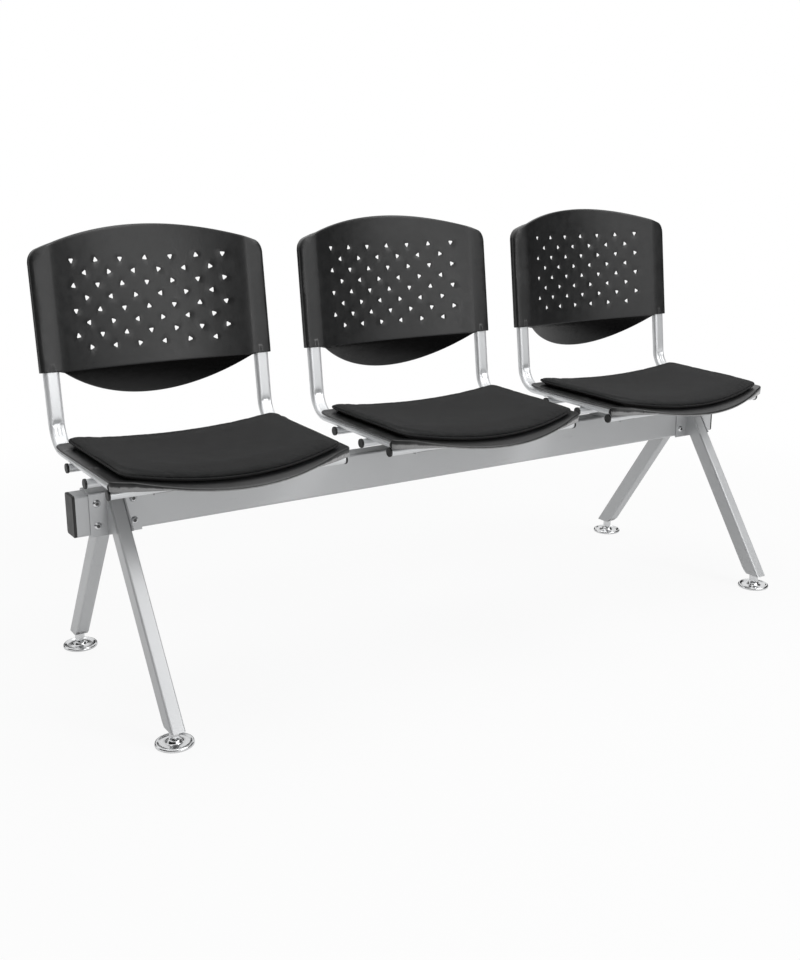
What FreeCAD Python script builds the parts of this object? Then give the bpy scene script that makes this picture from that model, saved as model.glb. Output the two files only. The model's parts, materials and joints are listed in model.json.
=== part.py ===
"""Three-seat waiting room bench: steel beam, splayed legs, plastic seats with pads. Millimetres.

Frame: X along the beam, the sitters face -Y, Z up. The origin is on the floor under the
middle of the beam. Every function below builds one kind of piece where it belongs.
"""
import FreeCAD, Part
import math
import os
from collections import namedtuple

V = FreeCAD.Vector

# Whole bench
SEATS = 3
SEAT_PITCH = 545.0
CLEARANCE = 0.2
TOUCH = 0.01

# Beam and its end caps
BEAM_LENGTH = 1566.0
BEAM_HEIGHT = 76.0
BEAM_DEPTH = 42.0
BEAM_WALL = 2.0
BEAM_CORNER = 5.0
BEAM_BOTTOM = 317.0
CAP_FLANGE = 5.0
CAP_PLUG = 18.0
CAP_WALL = 2.5
CAP_ROUND = 1.5

# Leg pairs
LEG_X = 712.5
LEG_WIDTH = 26.0
LEG_DEPTH = 35.0
LEG_WALL = 2.0
LEG_CORNER = 4.0
LEG_ANGLE = 34.4
LEG_BOTTOM = 30.0
TOE_CUT_WIDTH = 14.0
TOE_CUT_RISE = 12.6
FOOT_Y = 250.0
FOOT_OFFSET = 2.0

# Saddle brackets that hold the leg pairs
SADDLE_WIDTH = 94.0
SADDLE_PLATE = 3.0
SADDLE_BEND = 4.0
SADDLE_DROP = 2.0
CHEEK_RISE = 14.0
BOLT_PITCH_X = 67.0
BOLT_PITCH_Z = 41.0
BOLT_RADIUS = 4.0
BOLT_HOLE_RADIUS = 4.2
BOLT_HEAD_RADIUS = 7.0
BOLT_HEAD_HEIGHT = 4.4
BOLT_SOCKET_RADIUS = 2.9
BOLT_SOCKET_DEPTH = 2.2
BOLT_TAIL = 9.0
NUT_FLATS = 13.0
NUT_HEIGHT = 6.5

# Levelling glides
DISC_RADIUS = 34.0
DISC_CHAMFER = 1.0
DISC_EDGE = 4.0
DISC_RIM_RADIUS = 31.0
DISC_RIM = 7.0
DISC_RIM_WIDTH = 8.0
DISC_VALLEY = 4.5
DISC_VALLEY_RISE = 0.5
DISC_SWELL = 0.5
DISC_HUB_FOOT = 14.0
DISC_HUB_RADIUS = 9.0
DISC_HUB_TOP = 12.0
DISC_FLOOR = 3.0
STEM_RADIUS = 5.0
STEM_RUNNING = 0.05
STEM_END_GAP = 0.1
STEM_GRIP = 20.0
STEM_TIP = 1.0
HEX_FLATS = 17.0
HEX_BOTTOM = 15.0
HEX_STOP_GAP = 0.3
INSERT_HEIGHT = 24.0

# Oval side frames: a rail under the seat that bends up into the back's upright
OVAL_WIDTH = 30.0
OVAL_DEPTH = 15.0
OVAL_WALL = 1.5
FRAME_X = 212.0
RAIL_Z = 445.5
RAIL_Z_AT_Y = 38.5
RAIL_DROP_ANGLE = 0.9
RAIL_FRONT_Y = -165.0
BEND_RADIUS = 50.0
UPRIGHT_Y = 153.0
UPRIGHT_Y_AT_Z = 583.0
LEAN_ANGLE = 6.8
UPRIGHT_TOP = 782.0
RAIL_PLUG_HEAD = 3.0
RAIL_PLUG_DEPTH = 14.0

# Round cross tubes under the rails
TUBE_RADIUS = 8.0
TUBE_WALL = 1.5
REAR_TUBE_HALF_LENGTH = 228.0
MIDDLE_TUBE_HALF_LENGTH = 233.0
FRONT_TUBE_HALF_LENGTH = 222.5
TUBE_REAR_Y = 38.5
TUBE_MIDDLE_Y = -74.0
TUBE_FRONT_Y = -160.0
TUBE_CAP_RADIUS = 9.0
TUBE_CAP_HEAD = 4.0
TUBE_CAP_DEPTH = 12.0
TUBE_CAP_ROUND = 1.2
WELD_GAP = 0.1

# Channels that carry the cross tubes on the beam
MOUNT_X = 95.0
MOUNT_WIDTH = 44.0
MOUNT_PLATE = 3.0
MOUNT_OVERHANG = 13.0
MOUNT_BOLT_X = 10.0
MOUNT_BOLT_HEAD = 5.3
MOUNT_BOLT_LENGTH = 16.0
RIVET_RADIUS = 6.0
RIVET_FLANGE_RADIUS = 8.5
RIVET_FLANGE = 1.0
RIVET_LENGTH = 14.0

# Seat shell: a saddle with a turned-down rim
SEAT_HALF_WIDTH = 232.0
SEAT_FLANGE_X = 190.0
SEAT_SAG = 14.0
SEAT_REAR_Y = 97.0
SEAT_FRONT_Y = -242.0
SEAT_FRONT_RADIUS = 430.0
SEAT_FRONT_HALF_WIDTH = 225.0
SEAT_FRONT_CORNER = 14.0
SEAT_REAR_CORNER = 12.0
SEAT_SKIN = 4.0
SEAT_RIM = 5.5
SEAT_RIM_WALL = 3.5
SEAT_APRON_DEPTH = 17.5
SEAT_APRON_REAR_Y = -172.0
SEAT_FLARE_START = 58.0
SEAT_FLARE_RISE = 4.5
SEAT_FALL_START = -165.0
SEAT_FALL = 9.0
SADDLE_SPARE = 15.0

# Seat pad: a thin board under a foam cushion
PAD_HALF_WIDTH = 209.0
PAD_TAPER = 5.0
PAD_REAR_Y = 92.0
PAD_REAR_CORNER = 16.0
PAD_FRONT_Y = -214.0
PAD_FRONT_RADIUS = 600.0
PAD_FRONT_CORNER = 22.0
PAD_EDGE_HEIGHT = 9.0
PAD_END_HEIGHT = 5.0
PAD_SWELL_LENGTH = 12.0
PAD_CROWN = 3.5
PAD_BULGE = 3.0
PAD_END_BULGE = 0.9
BOARD_THICKNESS = 4.0
BOARD_INSET = 7.0
SOFT_CLEARANCE = 0.3

# Back shell
BACK_PANEL_HALF = 193.5
BACK_RECESS = 41.0
BACK_SKIN = 3.5
BACK_HEIGHT = 263.0
BACK_TAPER = 1.0
BACK_TOP_RADIUS = 590.0
BACK_CORNER = 28.0
BACK_RIM_HEIGHT = 7.0
BACK_RIM_DEPTH = 9.0
BELLY_DROP = 58.0
SLEEVE_WIDTH = 39.0
SLEEVE_DEPTH = 21.0
SLEEVE_TOP_DEPTH = 12.0
SLEEVE_ROUND = 8.0
SLEEVE_OVERLAP = 4.0
SLEEVE_X = 213.0
SLEEVE_BOTTOM = 583.0
SLEEVE_CLEARANCE = 0.3
HOLE_SIDE = 11.5
HOLE_ROUND = 1.6
HOLE_SWAY = 9.0
HOLE_SWAY_BY_ROW = 2.4
HOLE_SWAY_BY_COLUMN = 1.7
HOLE_ROWS = 8
HOLE_TOP_ROW = 199.0
HOLE_ROW_PITCH = 22.9
HOLE_PITCH = 50.2
HOLES_IN_LONG_ROW = 7

# Screws
SCREW_RADIUS = 2.4
SCREW_HEAD_RADIUS = 4.5
SCREW_HEAD_HEIGHT = 2.6
SCREW_HOLE_SPARE = 1.0
SEAT_SCREW_BITE = 2.0
SEAT_SCREW_HOLE_DEPTH = 3.0
SEAT_SCREW_FRONT_Y = -120.0
SEAT_SCREW_REAR_Y = 62.0
PAD_SCREW_X = 140.0
PAD_SCREW_FRONT_Y = -120.0
PAD_SCREW_REAR_Y = 5.0
PAD_SCREW_BITE = 1.8
BACK_SCREW_HEIGHT = 27.0
BACK_SCREW_LENGTH = 8.4

BEAM_TOP = BEAM_BOTTOM + BEAM_HEIGHT
BEAM_MIDDLE_Z = BEAM_BOTTOM + BEAM_HEIGHT / 2
HALF_DEPTH = BEAM_DEPTH / 2
SADDLE_FACE = HALF_DEPTH + SADDLE_PLATE
LEG_SLOPE = math.tan(math.radians(LEG_ANGLE))
LEG_HALF_Y = LEG_DEPTH / 2 / math.cos(math.radians(LEG_ANGLE))
LEAN = math.tan(math.radians(LEAN_ANGLE))
RAIL_SLOPE = math.tan(math.radians(RAIL_DROP_ANGLE))
SEAT_CENTRES = [(k - (SEATS - 1) / 2) * SEAT_PITCH for k in range(SEATS)]

Plan = namedtuple("Plan", "rear front rear_half front_half bow_radius front_corner rear_corner")
SEAT_PLAN = Plan(SEAT_REAR_Y, SEAT_FRONT_Y, SEAT_HALF_WIDTH, SEAT_FRONT_HALF_WIDTH,
                 SEAT_FRONT_RADIUS, SEAT_FRONT_CORNER, SEAT_REAR_CORNER)
PAD_PLAN = Plan(PAD_REAR_Y, PAD_FRONT_Y, PAD_HALF_WIDTH, PAD_HALF_WIDTH - PAD_TAPER,
                PAD_FRONT_RADIUS, PAD_FRONT_CORNER, PAD_REAR_CORNER)


def wire(points, closed=True):
    """Straight edges through the points."""
    if closed:
        points = points + [points[0]]
    return Part.makePolygon(points)


def prism(points, direction):
    """A solid with a flat outline, pushed along a direction."""
    return Part.Face(wire(points)).extrude(direction)


def rounded_outline(half_a, half_b, radius):
    """Corner points and arcs of a rectangle centred on zero, as (a, b) edge recipes."""
    diagonal = radius * (1 - math.sqrt(0.5))
    recipe = []
    for sa, sb in ((1, 1), (-1, 1), (-1, -1), (1, -1)):
        corner = (sa * half_a, sb * half_b)
        along_a = (corner[0] - sa * radius, corner[1])
        along_b = (corner[0], corner[1] - sb * radius)
        middle = (corner[0] - sa * diagonal, corner[1] - sb * diagonal)
        first, last = (along_b, along_a) if sa * sb > 0 else (along_a, along_b)
        recipe.append((first, middle, last))
    return recipe


def rounded_face(half_a, half_b, radius, place):
    """A rounded rectangle; place(a, b) gives each point in space."""
    recipe = rounded_outline(half_a, half_b, radius)
    edges = []
    for index, (first, middle, last) in enumerate(recipe):
        edges.append(Part.Arc(place(*first), place(*middle), place(*last)).toShape())
        following = recipe[(index + 1) % len(recipe)][0]
        if math.dist(last, following) > TOUCH:
            edges.append(Part.LineSegment(place(*last), place(*following)).toShape())
    return Part.Face(Part.Wire(Part.__sortEdges__(edges)))


def cylinder(radius, height, base, axis):
    """A round bar that starts at base and runs along axis."""
    return Part.makeCylinder(radius, height, base, axis)


def hexagon(flats, height, base, axis):
    """A six-sided bar across the given flats."""
    circle = flats / math.sqrt(3)
    turns = [math.radians(60 * index) for index in range(6)]
    points = [V(circle * math.cos(turn), circle * math.sin(turn), 0) for turn in turns]
    bar = prism(points, V(0, 0, height))
    bar.Placement = FreeCAD.Placement(base, FreeCAD.Rotation(V(0, 0, 1), axis))
    return bar


def edges_at_x(shape, x):
    """Edges that lie wholly in the upright plane at x."""
    return [edge for edge in shape.Edges if all(abs(vertex.X - x) < TOUCH for vertex in edge.Vertexes)]


def rail_height(y):
    """Centre height of a rail's oval tube at y."""
    return RAIL_Z + RAIL_SLOPE * (y - RAIL_Z_AT_Y)


def tube_height(y):
    """Centre height of a cross tube that touches the rails from below at y."""
    drop = (OVAL_DEPTH / 2 + TUBE_RADIUS + WELD_GAP) / math.cos(math.radians(RAIL_DROP_ANGLE))
    return rail_height(y) - drop


def upright_y(z):
    """Centre of an upright's oval tube at height z."""
    return UPRIGHT_Y + LEAN * (z - UPRIGHT_Y_AT_Z)


# Beam

def beam_place(x):
    return lambda a, b: V(x, a, BEAM_MIDDLE_Z + b)


def beam_tube():
    """Rectangular tube with the holes for the saddle bolts and the seat channels' rivet nuts."""
    start = beam_place(-BEAM_LENGTH / 2)
    run = V(BEAM_LENGTH, 0, 0)
    outside = rounded_face(HALF_DEPTH, BEAM_HEIGHT / 2, BEAM_CORNER, start).extrude(run)
    inner_half_y = HALF_DEPTH - BEAM_WALL
    inner_half_z = BEAM_HEIGHT / 2 - BEAM_WALL
    inside = rounded_face(inner_half_y, inner_half_z, BEAM_CORNER - BEAM_WALL, start).extrude(run)
    holes = []
    for x, z in saddle_bolt_places():
        holes.append(cylinder(BOLT_HOLE_RADIUS, BEAM_DEPTH, V(x, -HALF_DEPTH, z), V(0, 1, 0)))
    for x in mount_bolt_places():
        holes.append(cylinder(RIVET_RADIUS, 2 * BEAM_WALL, V(x, 0, BEAM_TOP - 2 * BEAM_WALL), V(0, 0, 1)))
    return outside.cut([inside] + holes)


def beam_end_cap(side):
    """Plastic cap: a flange as large as the tube, and a hollow plug inside it."""
    face_x = side * BEAM_LENGTH / 2
    outer_x = face_x + side * CAP_FLANGE
    outline = rounded_face(HALF_DEPTH, BEAM_HEIGHT / 2, BEAM_CORNER, beam_place(face_x))
    flange = outline.extrude(V(outer_x - face_x, 0, 0))
    flange = flange.makeFillet(CAP_ROUND, edges_at_x(flange, outer_x))
    half_a = HALF_DEPTH - BEAM_WALL - CLEARANCE
    half_b = BEAM_HEIGHT / 2 - BEAM_WALL - CLEARANCE
    corner = BEAM_CORNER - BEAM_WALL
    run = V(-side * CAP_PLUG, 0, 0)
    plug = rounded_face(half_a, half_b, corner, beam_place(face_x)).extrude(run)
    hollow = rounded_face(half_a - CAP_WALL, half_b - CAP_WALL, corner, beam_place(face_x)).extrude(run)
    return flange.fuse(plug.cut(hollow))


# Saddle brackets and legs

def saddle_bolt_places():
    """Centre (x, z) of each bolt that runs through a saddle and the beam."""
    places = []
    for side in (-1, 1):
        for sx in (-1, 1):
            for sz in (-1, 1):
                places.append((side * LEG_X + sx * BOLT_PITCH_X / 2, BEAM_MIDDLE_Z + sz * BOLT_PITCH_Z / 2))
    return places


def leg_axis_y(z):
    """Distance of a leg tube's axis from the beam's middle plane at height z."""
    return FOOT_Y + FOOT_OFFSET - LEG_SLOPE * (z - LEG_BOTTOM)


def leg_front_z(y):
    """Height at which a leg's outer face is at distance y."""
    return LEG_BOTTOM + (FOOT_Y + FOOT_OFFSET + LEG_HALF_Y - y) / LEG_SLOPE


def saddle_plate(x0):
    """Plate bent over the beam; its two skirts end square below the beam."""
    bottom = BEAM_BOTTOM - SADDLE_DROP
    top = BEAM_TOP + SADDLE_PLATE
    start = x0 - SADDLE_WIDTH / 2
    low = bottom - SADDLE_BEND
    middle = (top + low) / 2
    outline = rounded_face(SADDLE_FACE, (top - low) / 2, SADDLE_BEND, lambda a, b: V(start, a, middle + b))
    plate = outline.extrude(V(SADDLE_WIDTH, 0, 0))
    beam_room = Part.makeBox(SADDLE_WIDTH, BEAM_DEPTH, BEAM_TOP - low, V(start, -HALF_DEPTH, low))
    below = Part.makeBox(SADDLE_WIDTH, 2 * SADDLE_FACE, SADDLE_BEND, V(start, -SADDLE_FACE, low))
    return plate.cut([beam_room, below])


def leg_bracket(side):
    """Steel saddle over the beam, with a cheek plate on each side of each leg."""
    x0 = side * LEG_X
    bottom = BEAM_BOTTOM - SADDLE_DROP
    toe = bottom + CHEEK_RISE
    saddle = saddle_plate(x0)
    for sy in (-1, 1):
        reach = leg_axis_y(toe) + LEG_HALF_Y
        for sx in (-1, 1):
            x = x0 + sx * LEG_WIDTH / 2
            at_top = V(x, sy * SADDLE_FACE, leg_front_z(SADDLE_FACE))
            at_toe = V(x, sy * reach, toe)
            at_foot = V(x, sy * SADDLE_FACE, bottom)
            saddle = saddle.fuse(prism([at_top, at_toe, at_foot], V(sx * SADDLE_PLATE, 0, 0)))
    holes = []
    for x, z in saddle_bolt_places():
        if x * side > 0:
            holes.append(cylinder(BOLT_HOLE_RADIUS, 2 * SADDLE_FACE, V(x, -SADDLE_FACE, z), V(0, 1, 0)))
    return saddle.cut(holes).removeSplitter()


def leg_place(x0, sy, z):
    """Outline of a leg tube's section in the plane that squares off its sloping axis."""
    angle = math.radians(LEG_ANGLE)
    centre = V(x0, sy * leg_axis_y(z), z)
    return lambda a, b: centre + V(a, sy * b * math.cos(angle), b * math.sin(angle))


def leg_bar(x0, sy, half_x, half_d, radius):
    """A sloping bar that is trimmed by the floor plane and the saddle's face afterwards."""
    angle = math.radians(LEG_ANGLE)
    low = LEG_BOTTOM - LEG_DEPTH
    length = (BEAM_TOP - low) / math.cos(angle)
    face = rounded_face(half_x, half_d, radius, leg_place(x0, sy, low))
    return face.extrude(V(0, -sy * length * math.sin(angle), length * math.cos(angle)))


def leg_trim(x0, sy):
    """The space that a leg may fill: above its foot plane and outside the saddle."""
    reach = FOOT_Y + LEG_DEPTH
    height = BEAM_TOP - LEG_BOTTOM
    low_y = SADDLE_FACE if sy > 0 else -reach
    return Part.makeBox(LEG_WIDTH, reach - SADDLE_FACE, height, V(x0 - LEG_WIDTH / 2, low_y, LEG_BOTTOM))


def toe_cut(x0, sy):
    """The wedge taken off the inner lower edge of a leg's end."""
    start_x = x0 - LEG_WIDTH / 2
    middle = leg_axis_y(LEG_BOTTOM) - LEG_HALF_Y
    inner = sy * (middle - TOE_CUT_WIDTH / 2)
    outer = sy * (middle + TOE_CUT_WIDTH / 2)
    low = V(start_x, inner, LEG_BOTTOM)
    high = V(start_x, inner, LEG_BOTTOM + TOE_CUT_RISE)
    return prism([low, V(start_x, outer, LEG_BOTTOM), high], V(LEG_WIDTH, 0, 0))


def leg(side, sy):
    """Rectangular tube from the saddle's face down to the glide."""
    x0 = side * LEG_X
    outside = leg_bar(x0, sy, LEG_WIDTH / 2, LEG_DEPTH / 2, LEG_CORNER)
    inside = leg_bar(x0, sy, LEG_WIDTH / 2 - LEG_WALL, LEG_DEPTH / 2 - LEG_WALL, LEG_CORNER - LEG_WALL)
    return outside.cut(inside).common(leg_trim(x0, sy)).cut(toe_cut(x0, sy))


def leg_insert(side, sy):
    """Steel block in the leg's end, threaded upright for the glide."""
    x0 = side * LEG_X
    half_x = LEG_WIDTH / 2 - LEG_WALL - CLEARANCE / 2
    half_d = LEG_DEPTH / 2 - LEG_WALL - CLEARANCE / 2
    block = leg_bar(x0, sy, half_x, half_d, LEG_CORNER - LEG_WALL)
    corner = V(x0 - LEG_WIDTH / 2, sy * FOOT_Y - 2 * LEG_DEPTH, LEG_BOTTOM)
    slab = Part.makeBox(LEG_WIDTH, 4 * LEG_DEPTH, INSERT_HEIGHT, corner)
    bore = cylinder(STEM_RADIUS + STEM_RUNNING, STEM_GRIP, V(x0, sy * FOOT_Y, LEG_BOTTOM), V(0, 0, 1))
    return block.common(slab).cut([bore, toe_cut(x0, sy)])


def saddle_bolt(x, z):
    """Dome head bolt with a hexagon socket, through the saddle and the beam."""
    face = -SADDLE_FACE
    ball = (BOLT_HEAD_RADIUS ** 2 + BOLT_HEAD_HEIGHT ** 2) / (2 * BOLT_HEAD_HEIGHT)
    dome = Part.makeSphere(ball, V(x, face - BOLT_HEAD_HEIGHT + ball, z))
    dome = dome.common(cylinder(BOLT_HEAD_RADIUS, BOLT_HEAD_HEIGHT, V(x, face, z), V(0, -1, 0)))
    top = V(x, face - BOLT_HEAD_HEIGHT, z)
    socket = hexagon(2 * BOLT_SOCKET_RADIUS, BOLT_SOCKET_DEPTH, top, V(0, 1, 0))
    shank = cylinder(BOLT_RADIUS, 2 * SADDLE_FACE + BOLT_TAIL, V(x, face, z), V(0, 1, 0))
    return dome.cut(socket).fuse(shank)


def saddle_nut(x, z):
    """Hexagon nut behind the saddle."""
    nut = hexagon(NUT_FLATS, NUT_HEIGHT, V(x, SADDLE_FACE, z), V(0, 1, 0))
    return nut.cut(cylinder(BOLT_RADIUS + STEM_RUNNING, NUT_HEIGHT, V(x, SADDLE_FACE, z), V(0, 1, 0)))


# Glides

def glide_disc(side, sy):
    """Pressed round foot with a raised rim and a socket for the stem."""
    bore = STEM_RADIUS + STEM_RUNNING
    at = lambda radius, z: V(radius, 0, z)
    shoulder = at(DISC_RIM_RADIUS, DISC_RIM)
    edge_top = at(DISC_RADIUS, DISC_EDGE)
    valley_out = at(DISC_RIM_RADIUS - DISC_RIM_WIDTH, DISC_VALLEY)
    valley_in = at(DISC_HUB_FOOT, DISC_VALLEY + DISC_VALLEY_RISE)
    hub = at(DISC_HUB_RADIUS, DISC_HUB_TOP)
    swell = V(DISC_SWELL, 0, DISC_SWELL)
    round_shoulder = (edge_top + shoulder) / 2 + swell
    round_rim = (shoulder + valley_out) / 2 + swell
    round_hub = (valley_in + hub) / 2 - swell
    straight = [at(0, 0), at(DISC_RADIUS - DISC_CHAMFER, 0), at(DISC_RADIUS, DISC_CHAMFER), edge_top]
    socket = [hub, at(bore, DISC_HUB_TOP), at(bore, DISC_FLOOR), at(0, DISC_FLOOR), at(0, 0)]
    edges = [Part.LineSegment(a, b).toShape() for a, b in zip(straight, straight[1:])]
    edges.append(Part.Arc(edge_top, round_shoulder, shoulder).toShape())
    edges.append(Part.Arc(shoulder, round_rim, valley_out).toShape())
    edges.append(Part.LineSegment(valley_out, valley_in).toShape())
    edges.append(Part.Arc(valley_in, round_hub, hub).toShape())
    edges += [Part.LineSegment(a, b).toShape() for a, b in zip(socket, socket[1:])]
    disc = Part.Face(Part.Wire(edges)).revolve(V(0, 0, 0), V(0, 0, 1), 360)
    disc.translate(V(side * LEG_X, sy * FOOT_Y, 0))
    return disc


def glide_stem(side, sy):
    """Threaded stem with its spanner hexagon, screwed all the way into the leg."""
    x = side * LEG_X
    y = sy * FOOT_Y
    low = DISC_FLOOR + STEM_END_GAP
    high = LEG_BOTTOM + STEM_GRIP - STEM_TIP
    stem = cylinder(STEM_RADIUS, high - low, V(x, y, low), V(0, 0, 1))
    top_edge = [edge for edge in stem.Edges if edge.BoundBox.ZMin > high - TOUCH]
    stem = stem.makeChamfer(STEM_TIP, top_edge)
    head = hexagon(HEX_FLATS, LEG_BOTTOM - HEX_STOP_GAP - HEX_BOTTOM, V(x, y, HEX_BOTTOM), V(0, 0, 1))
    return stem.fuse(head)


# Side frames and cross tubes

def oval_face(half_w, half_d, place):
    """A flat-sided oval: two straight sides and two half-round ends."""
    flat = half_w - half_d
    corners = [(flat, half_d), (-flat, half_d), (-flat, -half_d), (flat, -half_d)]
    edges = [
        Part.LineSegment(place(*corners[0]), place(*corners[1])).toShape(),
        Part.Arc(place(*corners[1]), place(-half_w, 0), place(*corners[2])).toShape(),
        Part.LineSegment(place(*corners[2]), place(*corners[3])).toShape(),
        Part.Arc(place(*corners[3]), place(half_w, 0), place(*corners[0])).toShape(),
    ]
    return Part.Face(Part.Wire(edges))


def frame_path():
    """Front end, bend start, bend centre, bend end and top of a side frame, as (y, z)."""
    down = math.radians(RAIL_DROP_ANGLE)
    lean = math.radians(LEAN_ANGLE)
    meet_y = (upright_y(0) + LEAN * (RAIL_Z - RAIL_SLOPE * RAIL_Z_AT_Y)) / (1 - LEAN * RAIL_SLOPE)
    meet = (meet_y, rail_height(meet_y))
    turn = math.pi / 2 - lean - down
    tangent = BEND_RADIUS * math.tan(turn / 2)
    start = (meet[0] - tangent * math.cos(down), meet[1] - tangent * math.sin(down))
    end = (meet[0] + tangent * math.sin(lean), meet[1] + tangent * math.cos(lean))
    centre = (start[0] - BEND_RADIUS * math.sin(down), start[1] + BEND_RADIUS * math.cos(down))
    front = (RAIL_FRONT_Y, rail_height(RAIL_FRONT_Y))
    top = (upright_y(UPRIGHT_TOP), UPRIGHT_TOP)
    return front, start, centre, end, top


def oval_bar(x, half_w, half_d):
    """A solid oval bar along the whole side frame: rail, bend and upright."""
    front, start, centre, end, top = frame_path()
    down = math.radians(RAIL_DROP_ANGLE)
    lean = math.radians(LEAN_ANGLE)
    at_front = lambda a, b: V(x + a, front[0] - b * math.sin(down), front[1] + b * math.cos(down))
    at_start = lambda a, b: V(x + a, start[0] - b * math.sin(down), start[1] + b * math.cos(down))
    at_end = lambda a, b: V(x + a, end[0] - b * math.cos(lean), end[1] + b * math.sin(lean))
    rail = oval_face(half_w, half_d, at_front).extrude(V(0, start[0] - front[0], start[1] - front[1]))
    turn = 90 - LEAN_ANGLE - RAIL_DROP_ANGLE
    bend = oval_face(half_w, half_d, at_start).revolve(V(x, centre[0], centre[1]), V(1, 0, 0), turn)
    upright = oval_face(half_w, half_d, at_end).extrude(V(0, top[0] - end[0], top[1] - end[1]))
    return rail.fuse([bend, upright])


def side_frame(seat_x, side):
    """Oval tube: rail, bend and upright in one piece."""
    x = seat_x + side * FRAME_X
    tube = oval_bar(x, OVAL_WIDTH / 2, OVAL_DEPTH / 2)
    tube = tube.cut(oval_bar(x, OVAL_WIDTH / 2 - OVAL_WALL, OVAL_DEPTH / 2 - OVAL_WALL))
    return tube.cut(seat_screw_holes(seat_x, side) + back_screw_holes(seat_x, side)).removeSplitter()


def rail_plug(seat_x, side):
    """Plastic plug in the front end of a rail."""
    down = math.radians(RAIL_DROP_ANGLE)
    x = seat_x + side * FRAME_X
    z = rail_height(RAIL_FRONT_Y)
    place = lambda a, b: V(x + a, RAIL_FRONT_Y - b * math.sin(down), z + b * math.cos(down))
    forward = V(0, -math.cos(down), -math.sin(down))
    head = oval_face(OVAL_WIDTH / 2, OVAL_DEPTH / 2, place).extrude(forward * RAIL_PLUG_HEAD)
    inset = OVAL_WALL + CLEARANCE
    inner = oval_face(OVAL_WIDTH / 2 - inset, OVAL_DEPTH / 2 - inset, place)
    plug = inner.extrude(forward * -RAIL_PLUG_DEPTH)
    return head.fuse(plug)


def cross_tube(seat_x, y, half_length):
    """Round cross tube under both rails."""
    start = V(seat_x - half_length, y, tube_height(y))
    tube = cylinder(TUBE_RADIUS, 2 * half_length, start, V(1, 0, 0))
    return tube.cut(cylinder(TUBE_RADIUS - TUBE_WALL, 2 * half_length, start, V(1, 0, 0)))


def tube_cap(end, side):
    """Black plastic cap on a cross tube's end."""
    cap = cylinder(TUBE_CAP_RADIUS, TUBE_CAP_HEAD, end, V(side, 0, 0))
    cap = cap.makeFillet(TUBE_CAP_ROUND, edges_at_x(cap, end.x + side * TUBE_CAP_HEAD)[:1])
    plug_radius = TUBE_RADIUS - TUBE_WALL - CLEARANCE
    return cap.fuse(cylinder(plug_radius, TUBE_CAP_DEPTH, end, V(-side, 0, 0)))


def tube_places():
    """Place along Y and half length of each of a seat's three cross tubes, rear one first."""
    return [
        (TUBE_REAR_Y, REAR_TUBE_HALF_LENGTH),
        (TUBE_MIDDLE_Y, MIDDLE_TUBE_HALF_LENGTH),
        (TUBE_FRONT_Y, FRONT_TUBE_HALF_LENGTH),
    ]


def tube_caps(seat_x):
    """The six caps of one seat's three tubes."""
    caps = []
    for y, half_length in tube_places():
        for side in (-1, 1):
            caps.append(tube_cap(V(seat_x + side * half_length, y, tube_height(y)), side))
    return caps


# Seat channels on the beam

def mount_bolt_places():
    """Place along X of each bolt that holds a channel down on the beam."""
    places = []
    for seat_x in SEAT_CENTRES:
        for channel_side in (-1, 1):
            for bolt_side in (-1, 1):
                places.append(seat_x + channel_side * MOUNT_X + bolt_side * MOUNT_BOLT_X)
    return places


def seat_channel(seat_x, side):
    """Pressed channel on the beam; its walls cradle the rear and middle cross tubes."""
    x0 = seat_x + side * MOUNT_X
    front = TUBE_MIDDLE_Y - MOUNT_OVERHANG
    length = TUBE_REAR_Y + MOUNT_OVERHANG - front
    base = Part.makeBox(MOUNT_WIDTH, length, MOUNT_PLATE, V(x0 - MOUNT_WIDTH / 2, front, BEAM_TOP))
    height = tube_height(TUBE_MIDDLE_Y) - BEAM_TOP
    channel = base
    for sx in (-1, 1):
        wall_x = x0 + sx * MOUNT_WIDTH / 2 - (MOUNT_PLATE if sx > 0 else 0)
        channel = channel.fuse(Part.makeBox(MOUNT_PLATE, length, height, V(wall_x, front, BEAM_TOP)))
    cuts = []
    for y in (TUBE_REAR_Y, TUBE_MIDDLE_Y):
        end = V(x0 - MOUNT_WIDTH / 2, y, tube_height(y))
        cuts.append(cylinder(TUBE_RADIUS + WELD_GAP, MOUNT_WIDTH, end, V(1, 0, 0)))
    for bolt_side in (-1, 1):
        foot = V(x0 + bolt_side * MOUNT_BOLT_X, 0, BEAM_TOP)
        cuts.append(cylinder(BOLT_HOLE_RADIUS, MOUNT_PLATE, foot, V(0, 0, 1)))
    return channel.cut(cuts).removeSplitter()


def mount_bolt(x):
    """Hexagon head bolt from the channel into a rivet nut in the beam."""
    seat = BEAM_TOP + MOUNT_PLATE
    head = hexagon(NUT_FLATS, MOUNT_BOLT_HEAD, V(x, 0, seat), V(0, 0, 1))
    return head.fuse(cylinder(BOLT_RADIUS, MOUNT_BOLT_LENGTH, V(x, 0, seat), V(0, 0, -1)))


def rivet_nut(x):
    """Rivet nut: it fills the beam's hole and grips the wall from inside."""
    body = cylinder(RIVET_RADIUS - WELD_GAP, RIVET_LENGTH, V(x, 0, BEAM_TOP), V(0, 0, -1))
    grip = cylinder(RIVET_FLANGE_RADIUS, RIVET_FLANGE, V(x, 0, BEAM_TOP - BEAM_WALL), V(0, 0, -1))
    bore = cylinder(BOLT_RADIUS + STEM_RUNNING, RIVET_LENGTH, V(x, 0, BEAM_TOP), V(0, 0, -1))
    return body.fuse(grip).cut(bore)


# Seat shell

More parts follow.
